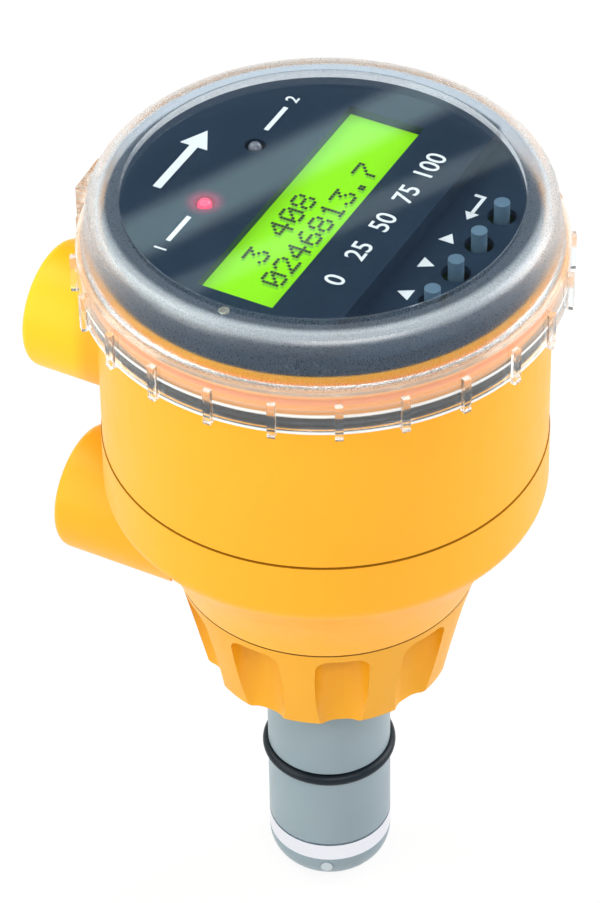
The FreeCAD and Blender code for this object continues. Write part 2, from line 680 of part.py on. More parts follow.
def make_ground_ring():
    """Metal ring between the tip and the shaft."""
    ring = turned("ground_ring", (
        (d.ring_inner_radius, d.ring_low), (d.shaft_radius, d.ring_low),
        (d.shaft_radius, -d.ring_gap), (d.ring_inner_radius, -d.ring_gap)))
    keep("ground_ring", ring)


def groove_corners(height):
    """Section of an O-ring groove in the shaft."""
    floor = d.shaft_ring_centre - d.shaft_ring_section
    low, high = height - d.shaft_groove_width / 2, height + d.shaft_groove_width / 2
    outside = d.shaft_radius + 2
    return ((floor, low), (outside, low), (outside, high), (floor, high))


def make_sensor_body():
    """Shaft with its collar, the stem the cap turns on and the threaded top."""
    body = turned("sensor_body", (
        (d.shaft_bore, ZERO), (d.shaft_radius, ZERO), (d.shaft_radius, d.shaft_length),
        (d.collar_radius, d.shaft_length), (d.collar_radius, d.collar_top),
        (d.stem_radius, d.collar_top), (d.stem_radius, d.neck_bottom),
        (d.stem_thread_radius, d.neck_bottom), (d.stem_thread_radius, d.stem_top),
        (d.shaft_bore, d.stem_top)))
    grooved(body, "lower_ring_groove", groove_corners(d.shaft_ring_low))
    grooved(body, "upper_ring_groove", groove_corners(d.shaft_ring_high))
    keep("sensor_body", body)


def make_shaft_rings():
    """The two rubber O-rings that seal the shaft in its fitting."""
    for label, height in (("o_ring_lower", d.shaft_ring_low), ("o_ring_upper", d.shaft_ring_high)):
        ring = doc.addObject("Part::Torus", label)
        bind(ring, Radius1=d.shaft_ring_centre, Radius2=d.shaft_ring_section)
        keep(label, move(ring, z=height))


def make_coil():
    """Magnet coil in the tip: steel core, bobbin and copper winding."""
    keep("coil_core", rod("coil_core", d.core_radius, d.core_top - d.tip_well_floor, z=d.tip_well_floor))
    bore = d.core_radius + d.fit
    tube = bore + d.bobbin_wall
    low, high = d.coil_seat + d.bobbin_flange, d.bobbin_top - d.bobbin_flange
    keep("coil_bobbin", turned("coil_bobbin", (
        (bore, d.coil_seat), (d.bobbin_radius, d.coil_seat), (d.bobbin_radius, low), (tube, low),
        (tube, high), (d.bobbin_radius, high), (d.bobbin_radius, d.bobbin_top), (bore, d.bobbin_top))))
    keep("coil_winding", turned("coil_winding", (
        (tube + d.fit, low), (d.winding_radius, low), (d.winding_radius, high), (tube + d.fit, high))))


def make_sensor_board():
    """Preamplifier board that stands on the bobbin inside the shaft."""
    place = d.core_radius + d.sensor_board_gap + d.board_thickness / 2
    keep("sensor_board", block("sensor_board", d.board_thickness, d.sensor_board_width,
                               d.sensor_board_height, place, ZERO, d.bobbin_top))


# ---------------------------------------------------------------- sensor cap

def make_sensor_cap():
    """Fluted cap that turns on the stem and screws onto the pipe fitting."""
    bore_top = d.collar_top + d.cap_gap
    bore = d.stem_radius + d.cap_fit
    body = turned("sensor_cap", (
        (d.cap_thread_radius, d.cap_bottom), (d.cap_low_radius, d.cap_bottom),
        (d.cap_top_radius, d.cap_top), (bore, d.cap_top), (bore, bore_top),
        (d.cap_thread_radius, bore_top)))
    rounded(body, "cap_edges", d.cap_edge_chamfer,
            rings_at(body, [(d.cap_thread_radius, d.cap_bottom), (d.cap_low_radius, d.cap_bottom)]),
            "PartDesign::Chamfer")
    top = d.cap_top - d.flute_land
    sketch = sketch_on(body, "flute_plan", "XY_Plane", top, d.flute_phase)
    rounded_slot(sketch, d.flute_floor, d.cap_top_radius + 4, d.flute_width, d.flute_corner)
    flute = pocketed(body, "flute", sketch, top - d.cap_bottom + 2)
    patterned(body, "flutes", flute, d.flute_count)
    arches = []
    for index, edge in enumerate(body.Shape.Edges, start=1):
        box = edge.BoundBox
        flat = box.ZLength < 0.001 and abs(box.ZMin - top.value) < 0.001
        if flat and not on_cone(edge, d.cap_low_radius.value + 1):
            arches.append(f"Edge{index}")
    rounded(body, "flute_arches", d.flute_arch, arches)
    keep("sensor_cap", body)


def on_cone(edge, radius):
    """Whether the whole edge runs about the axis outside a radius, as on the cap's skin."""
    curve = edge.Curve
    return isinstance(curve, Part.Circle) and curve.Radius > radius


# ---------------------------------------------------------------- housings

def port_hub(body, name, height, start, reach):
    """A port hub: a round boss that points to +Y, with its outer edge rounded."""
    sketch = sketch_on(body, name + "_plan", "XZ_Plane", -start)
    circle(sketch, d.port_offset, height, d.port_radius)
    padded(body, name, sketch, reach - start, reverse=True)
    names = []
    for index, edge in enumerate(body.Shape.Edges, start=1):
        curve = edge.Curve
        if isinstance(curve, Part.Circle) and abs(edge.BoundBox.YMin - reach.value) < 0.001:
            names.append(f"Edge{index}")
    rounded(body, name + "_edge", d.port_edge_round, names)


def bore_along_y(body, name, x, height, radius, outer, length):
    """A round hole that runs in from y = outer towards the axis."""
    sketch = sketch_on(body, name + "_plan", "XZ_Plane", -outer)
    circle(sketch, x, height, radius)
    pocketed(body, name, sketch, length, reverse=True)


def flange_holes(body, name, radius, height, depth):
    """Four upright holes for the housing screws, downwards from a height."""
    sketch = sketch_on(body, name + "_plan", "XY_Plane", height)
    x, y = polar(d.screw_circle, 45)
    circle(sketch, x, y, radius)
    hole = pocketed(body, name, sketch, depth)
    patterned(body, name + "_pattern", hole, 4)


def make_lower_housing():
    """Flared lower housing with the lower port; the sensor's stem is clamped in its floor."""
    body = turned("lower_housing", (
        (ZERO, d.neck_bottom), (d.neck_radius, d.neck_bottom), (d.flare_mid_radius, d.flare_mid_height),
        (d.lower_radius, d.flare_top_height), (d.lower_radius, d.seam_height), (ZERO, d.seam_height)))
    rounded(body, "flare_sweep", d.flare_sweep,
            rings_at(body, [(d.flare_mid_radius, d.flare_mid_height)]))
    rounded(body, "flare_edge", d.flare_edge_round,
            rings_at(body, [(d.lower_radius, d.flare_top_height)]))
    port_hub(body, "lower_port_hub", d.lower_port_height, d.floor_radius, d.lower_port_reach)
    under = d.lower_port_height - d.port_radius - 2
    guard = d.cap_top_radius + d.cap_clearance
    grooved(body, "cap_space", ((ZERO, under), (guard, under), (guard, d.neck_bottom),
                                (ZERO, d.neck_bottom)))
    flange_low = d.seam_height - d.lower_flange_height
    grooved(body, "lower_cavity", (
        (ZERO, d.housing_floor), (d.floor_radius, d.housing_floor),
        (d.flare_mid_radius - d.flare_wall, d.flare_mid_height + d.flare_lift),
        (d.housing_bore, d.flare_top_height + d.flare_top_lift),
        (d.housing_bore, flange_low), (d.flange_radius, flange_low),
        (d.flange_radius, d.seam_height), (ZERO, d.seam_height)))
    stem = d.stem_thread_radius + d.fit
    grooved(body, "stem_hole", ((ZERO, d.neck_bottom), (stem, d.neck_bottom), (stem, d.housing_floor),
                                (ZERO, d.housing_floor)))
    bore_along_y(body, "lower_port_thread", d.port_offset, d.lower_port_height, d.port_thread_radius,
                 d.lower_port_reach, d.lower_port_depth)
    inner_end = d.lower_port_reach - d.lower_port_depth
    bore_along_y(body, "lower_wire_hole", d.port_offset, d.lower_wire_height, d.lower_wire_radius,
                 inner_end, inner_end - d.floor_radius / 2)
    flange_holes(body, "lower_screw_hole", d.screw_radius + d.fit, d.seam_height, d.lower_flange_height)
    keep("lower_housing", body)


def make_upper_housing():
    """Upper housing with the upper port, the board columns and the neck for the cover."""
    low = d.upper_low
    ridges = []
    for ridge in (d.ridge_low, d.ridge_high):
        ridges += [(d.cover_neck_radius, ridge), (d.ridge_radius, ridge),
                   (d.ridge_radius, ridge + d.ridge_height), (d.cover_neck_radius, ridge + d.ridge_height)]
    body = turned("upper_housing", (
        (ZERO, low), (d.upper_radius, low), (d.upper_radius, d.neck_start),
        (d.cover_neck_radius, d.neck_start), *ridges, (d.cover_neck_radius, d.rim_height),
        (ZERO, d.rim_height)))
    port_hub(body, "upper_port_hub", d.upper_port_height, d.column_circle, d.upper_port_reach)
    flange_top = low + d.upper_flange_height
    grooved(body, "upper_cavity", (
        (ZERO, low), (d.flange_radius, low), (d.flange_radius, flange_top), (d.housing_bore, flange_top),
        (d.housing_bore, d.rim_height), (ZERO, d.rim_height)))
    outside = d.upper_radius + 2
    grooved(body, "cover_seal_groove", ((d.seal_inner_radius, d.seal_low), (outside, d.seal_low),
                                        (outside, d.seal_high), (d.seal_inner_radius, d.seal_high)))
    sketch = sketch_on(body, "column_plan", "XY_Plane", low)
    x, y = polar(d.column_circle, d.column_angle)
    circle(sketch, x, y, d.column_radius)
    column = padded(body, "column", sketch, d.main_board_height - low)
    patterned(body, "columns", column, 3)
    sketch = sketch_on(body, "column_hole_plan", "XY_Plane", d.main_board_height)
    circle(sketch, x, y, d.screw_radius + d.fit)
    hole = pocketed(body, "column_hole", sketch, d.standoff_stud + d.column_hole_end)
    patterned(body, "column_holes", hole, 3)
    bore_along_y(body, "upper_port_thread", d.port_offset, d.upper_port_height, d.port_thread_radius,
                 d.upper_port_reach, d.upper_port_depth)
    inner_end = d.upper_port_reach - d.upper_port_depth
    bore_along_y(body, "upper_wire_hole", d.port_offset, d.upper_port_height, d.upper_wire_radius,
                 inner_end, inner_end - d.flange_radius)
    flange_holes(body, "upper_screw_hole", d.screw_radius + d.fit, flange_top, d.upper_flange_height)
    keep("upper_housing", body)


def make_seals():
    """Gasket between the housings, washer under the stem nut and the cover's seal."""
    inner, outer = d.housing_bore - d.gasket_lap, d.upper_radius - d.gasket_inset
    keep("housing_gasket", turned("housing_gasket", (
        (inner, d.seam_height), (outer, d.seam_height), (outer, d.upper_low), (inner, d.upper_low))))
    bore = d.stem_thread_radius + d.fit
    edge = d.stem_thread_radius + d.washer_width
    keep("stem_washer", turned("stem_washer", (
        (bore, d.housing_floor), (edge, d.housing_floor), (edge, d.nut_seat), (bore, d.nut_seat))))
    seal = turned("cover_seal", (
        (d.seal_inner_radius, d.seal_low), (d.seal_outer_radius, d.seal_low),
        (d.seal_outer_radius, d.seal_high), (d.seal_inner_radius, d.seal_high)))
    rounded(seal, "cover_seal_edges", d.seal_round,
            rings_at(seal, [(d.seal_outer_radius, d.seal_low), (d.seal_outer_radius, d.seal_high)]))
    keep("cover_seal", seal)


def make_stem_nut():
    """Hexagon nut that clamps the stem to the lower housing's floor."""
    body = hexagon("stem_nut_blank", d.stem_thread_radius + d.nut_wall, d.nut_height, z=d.nut_seat)
    bore = rod("stem_nut_bore", d.stem_thread_radius + d.fit, d.nut_height + 2, z=d.nut_seat - 1)
    keep("stem_nut", cut("stem_nut", body, bore))


# ---------------------------------------------------------------- fasteners

def screw(name, x, y, seat, length):
    """A socket screw that hangs from its seat."""
    head = rod(name + "_head", d.screw_head_radius, d.screw_head_height, x, y, seat)
    shank = rod(name + "_shank", d.screw_radius, length + d.screw_head_height / 2, x, y, seat - length)
    socket = hexagon(name + "_socket", d.screw_socket_radius, d.screw_head_height,
                     x, y, seat + d.screw_head_height - d.screw_socket_depth)
    return cut(name, fuse(name + "_blank", head, shank), socket)


def make_housing_screws():
    """Four screws that join the two housings through their inner flanges."""
    seat = d.upper_low + d.upper_flange_height
    length = d.upper_flange_height + d.seam_gap + d.lower_flange_height
    screws = []
    for number in range(4):
        x, y = polar(d.screw_circle, 45 + 90 * number)
        screws.append(screw(f"housing_screw_{number + 1}", x, y, seat, length))
    keep("housing_screws", gathered("housing_screws", screws))


def column_places():
    """Places of the three board columns."""
    return [polar(d.column_circle, d.column_angle + 120 * number) for number in range(3)]


def make_standoffs():
    """Three hexagon standoffs that clamp the main board and carry the display board."""
    standoffs = []
    for number, (x, y) in enumerate(column_places(), start=1):
        name = f"standoff_{number}"
        column = hexagon(name + "_hexagon", d.standoff_radius, d.standoff_length, x, y, d.main_board_top)
        stud_reach = d.board_thickness + d.standoff_stud
        stud = rod(name + "_stud", d.screw_radius, stud_reach + 1, x, y, d.main_board_top - stud_reach)
        bore = rod(name + "_bore", d.screw_radius + d.fit, d.board_screw_length + 1, x, y,
                   d.display_board_height - d.board_screw_length)
        standoffs.append(cut(name, fuse(name + "_blank", column, stud), bore))
    keep("board_standoffs", gathered("board_standoffs", standoffs))


def make_board_screws():
    """Three screws that hold the display board on its standoffs."""
    screws = []
    for number, (x, y) in enumerate(column_places(), start=1):
        screws.append(screw(f"board_screw_{number}", x, y, d.switch_seat, d.board_screw_length))
    keep("board_screws", gathered("board_screws", screws))


# ---------------------------------------------------------------- boards

def round_board(name, radius, height):
    """A round circuit board with three clearance holes over the columns."""
    disc = rod(name + "_disc", radius, d.board_thickness, z=height)
    holes = []
    for number, (x, y) in enumerate(column_places(), start=1):
        holes.append(rod(f"{name}_hole_{number}", d.screw_radius + d.fit * 4, d.board_thickness + 2,
                         x, y, height - 1))
    keep(name, cut(name, disc, *holes))


def make_relays():
    """The two output relays on the main board."""
    for number, side in enumerate((-1, 1), start=1):
        case = block(f"relay_case_{number}", d.relay_length, d.relay_width, d.relay_height,
                     (d.relay_length + d.relay_gap) * side / 2, ZERO, d.main_board_top)
        keep(f"relay_{number}", case)


def make_terminals():
    """Two screw terminal blocks on the main board, with their screws."""
    seat = d.main_board_top
    length = d.terminal_pitch * d.terminal_count
    count = int(d.terminal_count.value)
    screws = []
    for label, place, side in (("terminal_block_power", d.power_block_place, -1),
                               ("terminal_block_relays", d.relay_block_place, 1)):
        case = block(label + "_case", length, d.terminal_depth, d.terminal_height, ZERO, place, seat)
        tools = []
        for number in range(count):
            x = d.terminal_pitch * (number + 0.5) - length / 2
            top = seat + d.terminal_height
            well = top - d.terminal_screw_height - d.fit
            tools.append(rod(f"{label}_well_{number}", d.terminal_screw_radius + d.fit,
                             d.terminal_screw_height + 1, x, place, well))
            tools.append(block(f"{label}_entry_{number}", d.wire_entry_width, d.terminal_depth / 2,
                               d.wire_entry_height, x, place + d.terminal_depth * side / 2,
                               seat + d.wire_entry_rise))
            head = rod(f"{label}_screw_{number}", d.terminal_screw_radius, d.terminal_screw_height,
                       x, place, well)
            slot = block(f"{label}_slot_{number}", d.terminal_screw_radius * 2 + 1,
                         d.terminal_slot_width, d.terminal_screw_height, x, place,
                         well + d.terminal_screw_height / 2)
            screws.append(cut(f"{label}_slotted_{number}", head, slot))
        keep(label, cut(label, case, *tools))
    keep("terminal_screws", gathered("terminal_screws", screws))


# ---------------------------------------------------------------- display

def button_places():
    """Places of the four buttons, in reading order."""
    return [(d.button_first + d.button_pitch * number, d.button_place) for number in range(4)]


def make_bezel():
    """Dark display face: a drum with an opening for the display and a lower deck for the buttons."""
    inner_top = d.bezel_top - d.bezel_plate
    skirt = d.bezel_skirt_radius
    skirt_low = d.rim_height - d.bezel_skirt_depth
    body = turned("bezel_drum", (
        (ZERO, inner_top), (d.bezel_top_radius - d.bezel_wall, inner_top),
        (skirt - d.bezel_wall, d.rim_height), (skirt - d.bezel_wall, skirt_low), (skirt, skirt_low),
        (skirt, d.rim_height), (d.bezel_foot_radius, d.rim_height), (d.bezel_top_radius, d.bezel_top),
        (ZERO, d.bezel_top)))
    rounded(body, "bezel_edge", d.bezel_edge_round, rings_at(body, [(d.bezel_top_radius, d.bezel_top)]))
    front = block("bezel_front", d.bezel_foot_radius * 2, d.bezel_foot_radius, d.bezel_top - d.deck_top,
                  ZERO, d.deck_line - d.bezel_foot_radius / 2, d.deck_top)
    open_drum = cut("bezel_open", body, front)
    deck_low = d.deck_top - d.deck_plate
    deck_rod = rod("bezel_deck_disc", d.bezel_top_radius - d.bezel_wall / 2, d.deck_plate, z=deck_low)
    reach = d.bezel_foot_radius + d.deck_line
    deck_half = block("bezel_deck_half", d.bezel_foot_radius * 2, reach, d.deck_plate,
                      ZERO, d.deck_line - reach / 2, deck_low)
    deck = doc.addObject("Part::Common", "bezel_deck")
    deck.Base = deck_rod
    deck.Tool = deck_half
    wall_rod = rod("bezel_wall_disc", d.bezel_top_radius - d.bezel_wall / 2,
                   d.bezel_top - deck_low - d.bezel_plate / 2, z=deck_low)
    wall_slab = block("bezel_wall_slab", d.bezel_foot_radius * 2, d.deck_plate, d.bezel_top - deck_low,
                      ZERO, d.deck_line + d.deck_plate / 2, deck_low)
    wall = doc.addObject("Part::Common", "bezel_step")
    wall.Base = wall_rod
    wall.Tool = wall_slab
    face = fuse("bezel_face", fuse("bezel_with_deck", open_drum, deck), wall)
    window = block("bezel_window", d.window_width, d.window_height, d.bezel_plate + 2,
                   d.window_offset, d.window_place, inner_top - 1)
    tools = [window]
    for number, side in enumerate((-1, 1), start=1):
        tools.append(rod(f"bezel_lamp_hole_{number}", d.led_radius + d.led_hole_gap, d.bezel_plate + 2,
                         d.led_spacing * side / 2, d.led_place, inner_top - 1))
    for number, (x, y) in enumerate(button_places(), start=1):
        tools.append(rod(f"bezel_button_hole_{number}", d.button_radius + d.button_hole_gap,
                         d.deck_plate + 2, x, y, deck_low - 1))
    keep("bezel", cut("bezel_pierced", face, *tools))


def make_display():
    """Display module: glass, backlight, its own board and the pin header under it."""
    width = d.window_width + d.lcd_margin * 2
    depth = d.window_height + d.lcd_margin * 2
    glass_low = d.lcd_top - d.lcd_thickness
    light_low = glass_low - d.backlight_thickness
    board_low = light_low - d.board_thickness
    keep("lcd_glass", block("lcd_glass", width, depth, d.lcd_thickness,
                            d.window_offset, d.window_place, glass_low))
    keep("lcd_backlight", block("lcd_backlight", width, depth, d.backlight_thickness,
                                d.window_offset, d.window_place, light_low))
    keep("lcd_board", block("lcd_board", d.lcd_board_width, d.lcd_board_depth, d.board_thickness,
                            ZERO, d.window_place, board_low))
    header_place = d.window_place + d.lcd_board_depth / 2 - d.header_width
    keep("lcd_header", block("lcd_header", d.header_length, d.header_width, board_low - d.switch_seat,
                             ZERO, header_place, d.switch_seat))


def make_lamps():
    """Two status lamps, each a domed body on a foot, carried by a spacer."""
    foot = d.led_top - d.led_length - d.led_foot_height
    spacers = []
    for label, side in (("led_red", -1), ("led_clear", 1)):
        x = d.led_spacing * side / 2
        body = rod(label + "_body", d.led_radius, d.led_length - d.led_radius + d.led_foot_height,
                   x, d.led_place, foot)
        dome = doc.addObject("Part::Sphere", label + "_dome")
        bind(dome, Radius=d.led_radius)
        move(dome, x, d.led_place, d.led_top - d.led_radius)
        flange = rod(label + "_foot", d.led_foot_radius, d.led_foot_height, x, d.led_place, foot)
        keep(label, fuse(label, fuse(label + "_lens", body, dome), flange))
        spacers.append(rod(label + "_spacer", d.led_foot_radius, foot - d.switch_seat,
                           x, d.led_place, d.switch_seat))
    keep("led_spacers", gathered("led_spacers", spacers))


def make_buttons():
    """Four tall push-button switches: square bodies on the board and round pins that travel."""
    bodies = []
    names = ("button_up", "button_down", "button_next", "button_enter")
    top = d.switch_seat + d.switch_height
    for name, (x, y) in zip(names, button_places()):
        case = block(name + "_case", d.switch_width, d.switch_width, d.switch_height, x, y, d.switch_seat)
        well = rod(name + "_well", d.button_radius + d.button_fit, d.switch_well_depth + 1,
                   x, y, top - d.switch_well_depth)
        bodies.append(cut(name + "_switch", case, well))
        low = top - d.switch_well_depth + d.button_travel
        keep(name, rod(name, d.button_radius, d.button_top - low, x, y, low))
    keep("button_switches", gathered("button_switches", bodies))


# ---------------------------------------------------------------- cover

def make_cover():
    """Clear cover: window, textured ring and wall, ribbed skirt and locking lug."""
    ring_top = d.cover_top - d.cover_step
    ceiling = d.cover_top - d.cover_plate
    skirt_top = d.cover_foot - d.cover_skirt_rise
    body = turned("clear_cover", (
        (ZERO, ceiling), (d.cover_inner_top, ceiling), (d.cover_inner_low, d.cover_shelf),
        (d.cover_skirt_bore, d.cover_shelf), (d.cover_skirt_bore, d.cover_bottom),
        (d.cover_skirt_radius, d.cover_bottom), (d.cover_skirt_radius, skirt_top),
        (d.cover_wall_low_radius, d.cover_foot), (d.cover_shoulder_radius, ring_top),
        (d.cover_window_radius, ring_top), (d.cover_window_radius, d.cover_top), (ZERO, d.cover_top)))
    rounded(body, "cover_shoulder", d.cover_shoulder_round,
            rings_at(body, [(d.cover_shoulder_radius, ring_top)]))
    rounded(body, "cover_inner_shoulder", d.cover_inner_round,
            rings_at(body, [(d.cover_inner_top, ceiling)]))
    embed = d.cover_skirt_bore + d.cover_wall / 2
    rib_outer = d.cover_skirt_radius + d.rib_depth
    sketch = sketch_on(body, "rib_plan", "XY_Plane", d.rib_low, d.rib_phase)
    half = d.rib_width / 2
    outline(sketch, ((embed, -half), (rib_outer, -half), (rib_outer, half), (embed, half)))
    rib = padded(body, "rib", sketch, d.rib_height)
    patterned(body, "ribs", rib, d.rib_count)
    sketch = sketch_on(body, "lug_plan", "XY_Plane", d.cover_bottom + d.lug_rise, d.lug_angle)
    half = d.lug_width / 2
    inner = d.cover_skirt_bore + d.cover_wall * 0.2
    outer = d.cover_skirt_radius + d.lug_depth
    outline(sketch, ((inner, -half), (outer, -half), (outer, half), (inner, half)))
    padded(body, "lug", sketch, d.lug_height)
    keep("clear_cover", body)


# ---------------------------------------------------------------- assembly

make_tip()
make_electrodes()
make_ground_ring()
make_sensor_body()
make_shaft_rings()
make_coil()
make_sensor_board()
make_sensor_cap()
make_lower_housing()
make_upper_housing()
make_seals()
make_stem_nut()
make_housing_screws()
make_standoffs()
make_board_screws()
round_board("main_board", d.main_board_radius, d.main_board_height)
round_board("display_board", d.display_board_radius, d.display_board_height)
make_relays()
make_terminals()
make_bezel()
make_display()
make_lamps()
make_buttons()
make_cover()
doc.recompute()


def check_document():
    """Stop before writing if anything failed to build."""
    for item in doc.Objects:
        if "Invalid" in item.State or "Error" in item.State:
            raise RuntimeError(f"{item.Name} did not build: {item.State}")
    for item in subparts:
        if item.Shape.isNull() or not item.Shape.isValid() or not item.Shape.Solids:
            raise RuntimeError(f"{item.Label} is not a sound solid")


check_document()
os.makedirs("parts", exist_ok=True)
for item in subparts:
    item.Shape.exportStep(f"parts/{item.Label}.step")
print(f"{len(subparts)} sub-parts written")
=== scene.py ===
import math

import bmesh
import bpy
from mathutils import Matrix, Vector


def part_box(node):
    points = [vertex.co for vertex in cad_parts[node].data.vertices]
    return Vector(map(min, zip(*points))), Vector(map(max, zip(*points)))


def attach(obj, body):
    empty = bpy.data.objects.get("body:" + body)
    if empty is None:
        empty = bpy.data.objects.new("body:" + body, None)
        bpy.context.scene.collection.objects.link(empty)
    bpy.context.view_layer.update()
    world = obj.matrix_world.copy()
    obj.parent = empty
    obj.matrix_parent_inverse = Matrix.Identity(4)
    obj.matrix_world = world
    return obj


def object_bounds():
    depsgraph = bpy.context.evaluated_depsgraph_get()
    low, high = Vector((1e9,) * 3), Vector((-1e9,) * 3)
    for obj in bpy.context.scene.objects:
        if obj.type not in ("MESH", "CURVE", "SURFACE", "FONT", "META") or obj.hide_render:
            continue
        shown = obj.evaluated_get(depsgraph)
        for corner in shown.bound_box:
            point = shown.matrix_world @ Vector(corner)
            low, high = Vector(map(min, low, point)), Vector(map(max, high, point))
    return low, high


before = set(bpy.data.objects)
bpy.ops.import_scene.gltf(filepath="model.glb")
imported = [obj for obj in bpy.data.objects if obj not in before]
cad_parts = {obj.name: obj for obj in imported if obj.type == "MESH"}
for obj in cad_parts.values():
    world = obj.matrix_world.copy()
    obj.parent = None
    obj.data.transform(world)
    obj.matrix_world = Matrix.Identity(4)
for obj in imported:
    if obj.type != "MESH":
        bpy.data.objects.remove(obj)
cad_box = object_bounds()

# Electromagnetic flow meter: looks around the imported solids. Metres; +Z up along the shaft,
# +X the display's reading direction, +Y its upper side.

MM = 0.001
METER = "meter"
COVER = "cover"
scene = bpy.context.scene


# ---------------------------------------------------------------- node helpers

class Nodes:
    """A material's node tree with short calls for the nodes used here."""

    def __init__(self, name):
        self.material = bpy.data.materials.new(name)
        self.material.use_nodes = True
        self.tree = self.material.node_tree
        self.tree.nodes.clear()
        self.output = self.add("ShaderNodeOutputMaterial")

    def add(self, kind, **settings):
        node = self.tree.nodes.new(kind)
        for key, value in settings.items():
            setattr(node, key, value)
        return node

    def link(self, source, target):
        self.tree.links.new(source, target)

    def set(self, socket, value):
        """A socket gets a link or a constant."""
        if isinstance(value, bpy.types.NodeSocket):
            self.link(value, socket)
        else:
            socket.default_value = value

    def principled(self, **inputs):
        node = self.add("ShaderNodeBsdfPrincipled")
        for key, value in inputs.items():
            self.set(node.inputs[key.replace("_", " ")], value)
        return node

    def position(self):
        """The point in the object's own frame, which is the frame of the whole meter."""
        return self.add("ShaderNodeTexCoord").outputs["Object"]

    def math(self, operation, a, b=0.0, clamp=False):
        node = self.add("ShaderNodeMath", operation=operation, use_clamp=clamp)
        self.set(node.inputs[0], a)
        self.set(node.inputs[1], b)
        return node.outputs[0]

    def split(self, vector):
        node = self.add("ShaderNodeSeparateXYZ")
        self.link(vector, node.inputs[0])
        return node.outputs

    def radius(self, vector):
        """Distance from the meter's axis."""
        x, y, _ = self.split(vector)
        return self.length(x, y)

    def length(self, x, y):
        """Length of a flat vector."""
        return self.math("SQRT", self.math("ADD", self.math("MULTIPLY", x, x),
                                           self.math("MULTIPLY", y, y)))

    def noise(self, vector, scale, detail=3.0, roughness=0.5):
        node = self.add("ShaderNodeTexNoise")
        self.link(vector, node.inputs["Vector"])
        node.inputs["Scale"].default_value = scale
        node.inputs["Detail"].default_value = detail
        node.inputs["Roughness"].default_value = roughness
        return node.outputs["Fac"]

    def span(self, value, low, high, to_low=0.0, to_high=1.0, smooth=False):
        """Map a range of values to another range, clamped."""
        node = self.add("ShaderNodeMapRange", clamp=True)
        if smooth:
            node.interpolation_type = "SMOOTHSTEP"
        self.link(value, node.inputs["Value"])
        limits = {"From Min": low, "From Max": high, "To Min": to_low, "To Max": to_high}
        for key, number in limits.items():
            node.inputs[key].default_value = number
        return node.outputs["Result"]

    def mix(self, factor, first, second):
        """A shader between two shaders."""
        node = self.add("ShaderNodeMixShader")
        self.set(node.inputs[0], factor)
        self.link(first.outputs[0], node.inputs[1])
        self.link(second.outputs[0], node.inputs[2])
        return node

    def blend(self, factor, first, second):
        """A colour between two colours."""
        node = self.add("ShaderNodeMix", data_type="RGBA")
        self.set(node.inputs[0], factor)
        for socket, value in ((node.inputs[6], first), (node.inputs[7], second)):
            self.set(socket, value if isinstance(value, bpy.types.NodeSocket) else (*value, 1.0))
        return node.outputs[2]

    def bump(self, height, strength, distance):
        node = self.add("ShaderNodeBump")
        self.link(height, node.inputs["Height"])
        node.inputs["Strength"].default_value = strength
        node.inputs["Distance"].default_value = distance
        return node.outputs["Normal"]

    def finish(self, shader):
        """The last shader's output becomes the surface's look."""
        self.link(shader.outputs[0], self.output.inputs["Surface"])
        return self.material


def srgb(red, green, blue):
    """Scene-linear colour from 0-255 display values."""
    def linear(value):
        value /= 255.0
        return value / 12.92 if value <= 0.04045 else ((value + 0.055) / 1.055) ** 2.4
    return tuple(linear(value) for value in (red, green, blue))


# ---------------------------------------------------------------- materials

# Each seam's node, its height above that node's top, and how far out its dark line reaches.
SEAMS = (("housing_gasket", -0.0002, 0.0510), ("sensor_cap", 0.00015, 0.0345))
SEAM_DARK = (0.16, 0.07, 0.004)
# Painted light: the ports' brighter lemon tone stands in for strong lamp light falling on them.
PORT_PAINTED_LIGHT = (0.96, 0.54, 0.010)


def moulded(name, colour, shade, roughness, grain=2600.0, depth=0.02, **extra):
    """Moulded plastic: faint colour drift, fine surface grain and uneven gloss."""
    n = Nodes(name)
    place = n.position()
    drift = n.noise(place, 35.0, 2.0)
    base = n.blend(n.span(drift, 0.35, 0.65), colour, shade)
    fine = n.noise(place, grain, 2.0)
    rough = n.span(n.noise(place, 240.0, 3.0), 0.3, 0.7, roughness - 0.04, roughness + 0.05)
    shader = n.principled(Base_Color=base, Roughness=rough, Normal=n.bump(fine, depth, 0.0002), **extra)
    return n.finish(shader)


def yellow_plastic(name, colour, shade):
    """Warm yellow moulded plastic: painted light as a brighter lemon tone on the ports, dark in the two
    narrow seams.
    """
    n = Nodes(name)
    place = n.position()
    height = n.split(place)[2]
    radius = n.radius(place)
    drift = n.noise(place, 35.0, 2.0)
    base = n.blend(n.span(drift, 0.35, 0.65), colour, shade)
    # The ports get the painted light's lemon tone, chosen by their distance from the axis and their
    # height.
    port = n.math("MULTIPLY", n.span(radius, 0.0488, 0.0520), n.span(height, 0.108, 0.114))
    base = n.blend(port, base, PORT_PAINTED_LIGHT)
    for node, lift, reach in SEAMS:
        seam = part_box(node)[1][2] + lift
        away = n.math("ABSOLUTE", n.math("SUBTRACT", height, seam))
        dark = n.math("MULTIPLY", n.span(away, 0.00018, 0.00030, 0.80, 0.0),
                      n.span(radius, reach, reach + 0.0005, 1.0, 0.0))
        base = n.blend(dark, base, SEAM_DARK)
    rough = n.span(n.noise(place, 240.0, 3.0), 0.3, 0.7, 0.34, 0.43)
    fine = n.noise(place, 2600.0, 2.0)
    shader = n.principled(Base_Color=base, Roughness=rough, IOR=1.46, Specular_IOR_Level=0.28,
                          Normal=n.bump(fine, 0.02, 0.0002))
    return n.finish(shader)


# The clear cover's zones, in metres: the window ends at a radius, the skirt starts under a height.
WINDOW_EDGE = (0.04032, 0.04048)
SKIRT_TOP = (0.1590, 0.1596)
MILK_START = (0.1534, 0.1542)
THREAD_PITCH = 0.0017


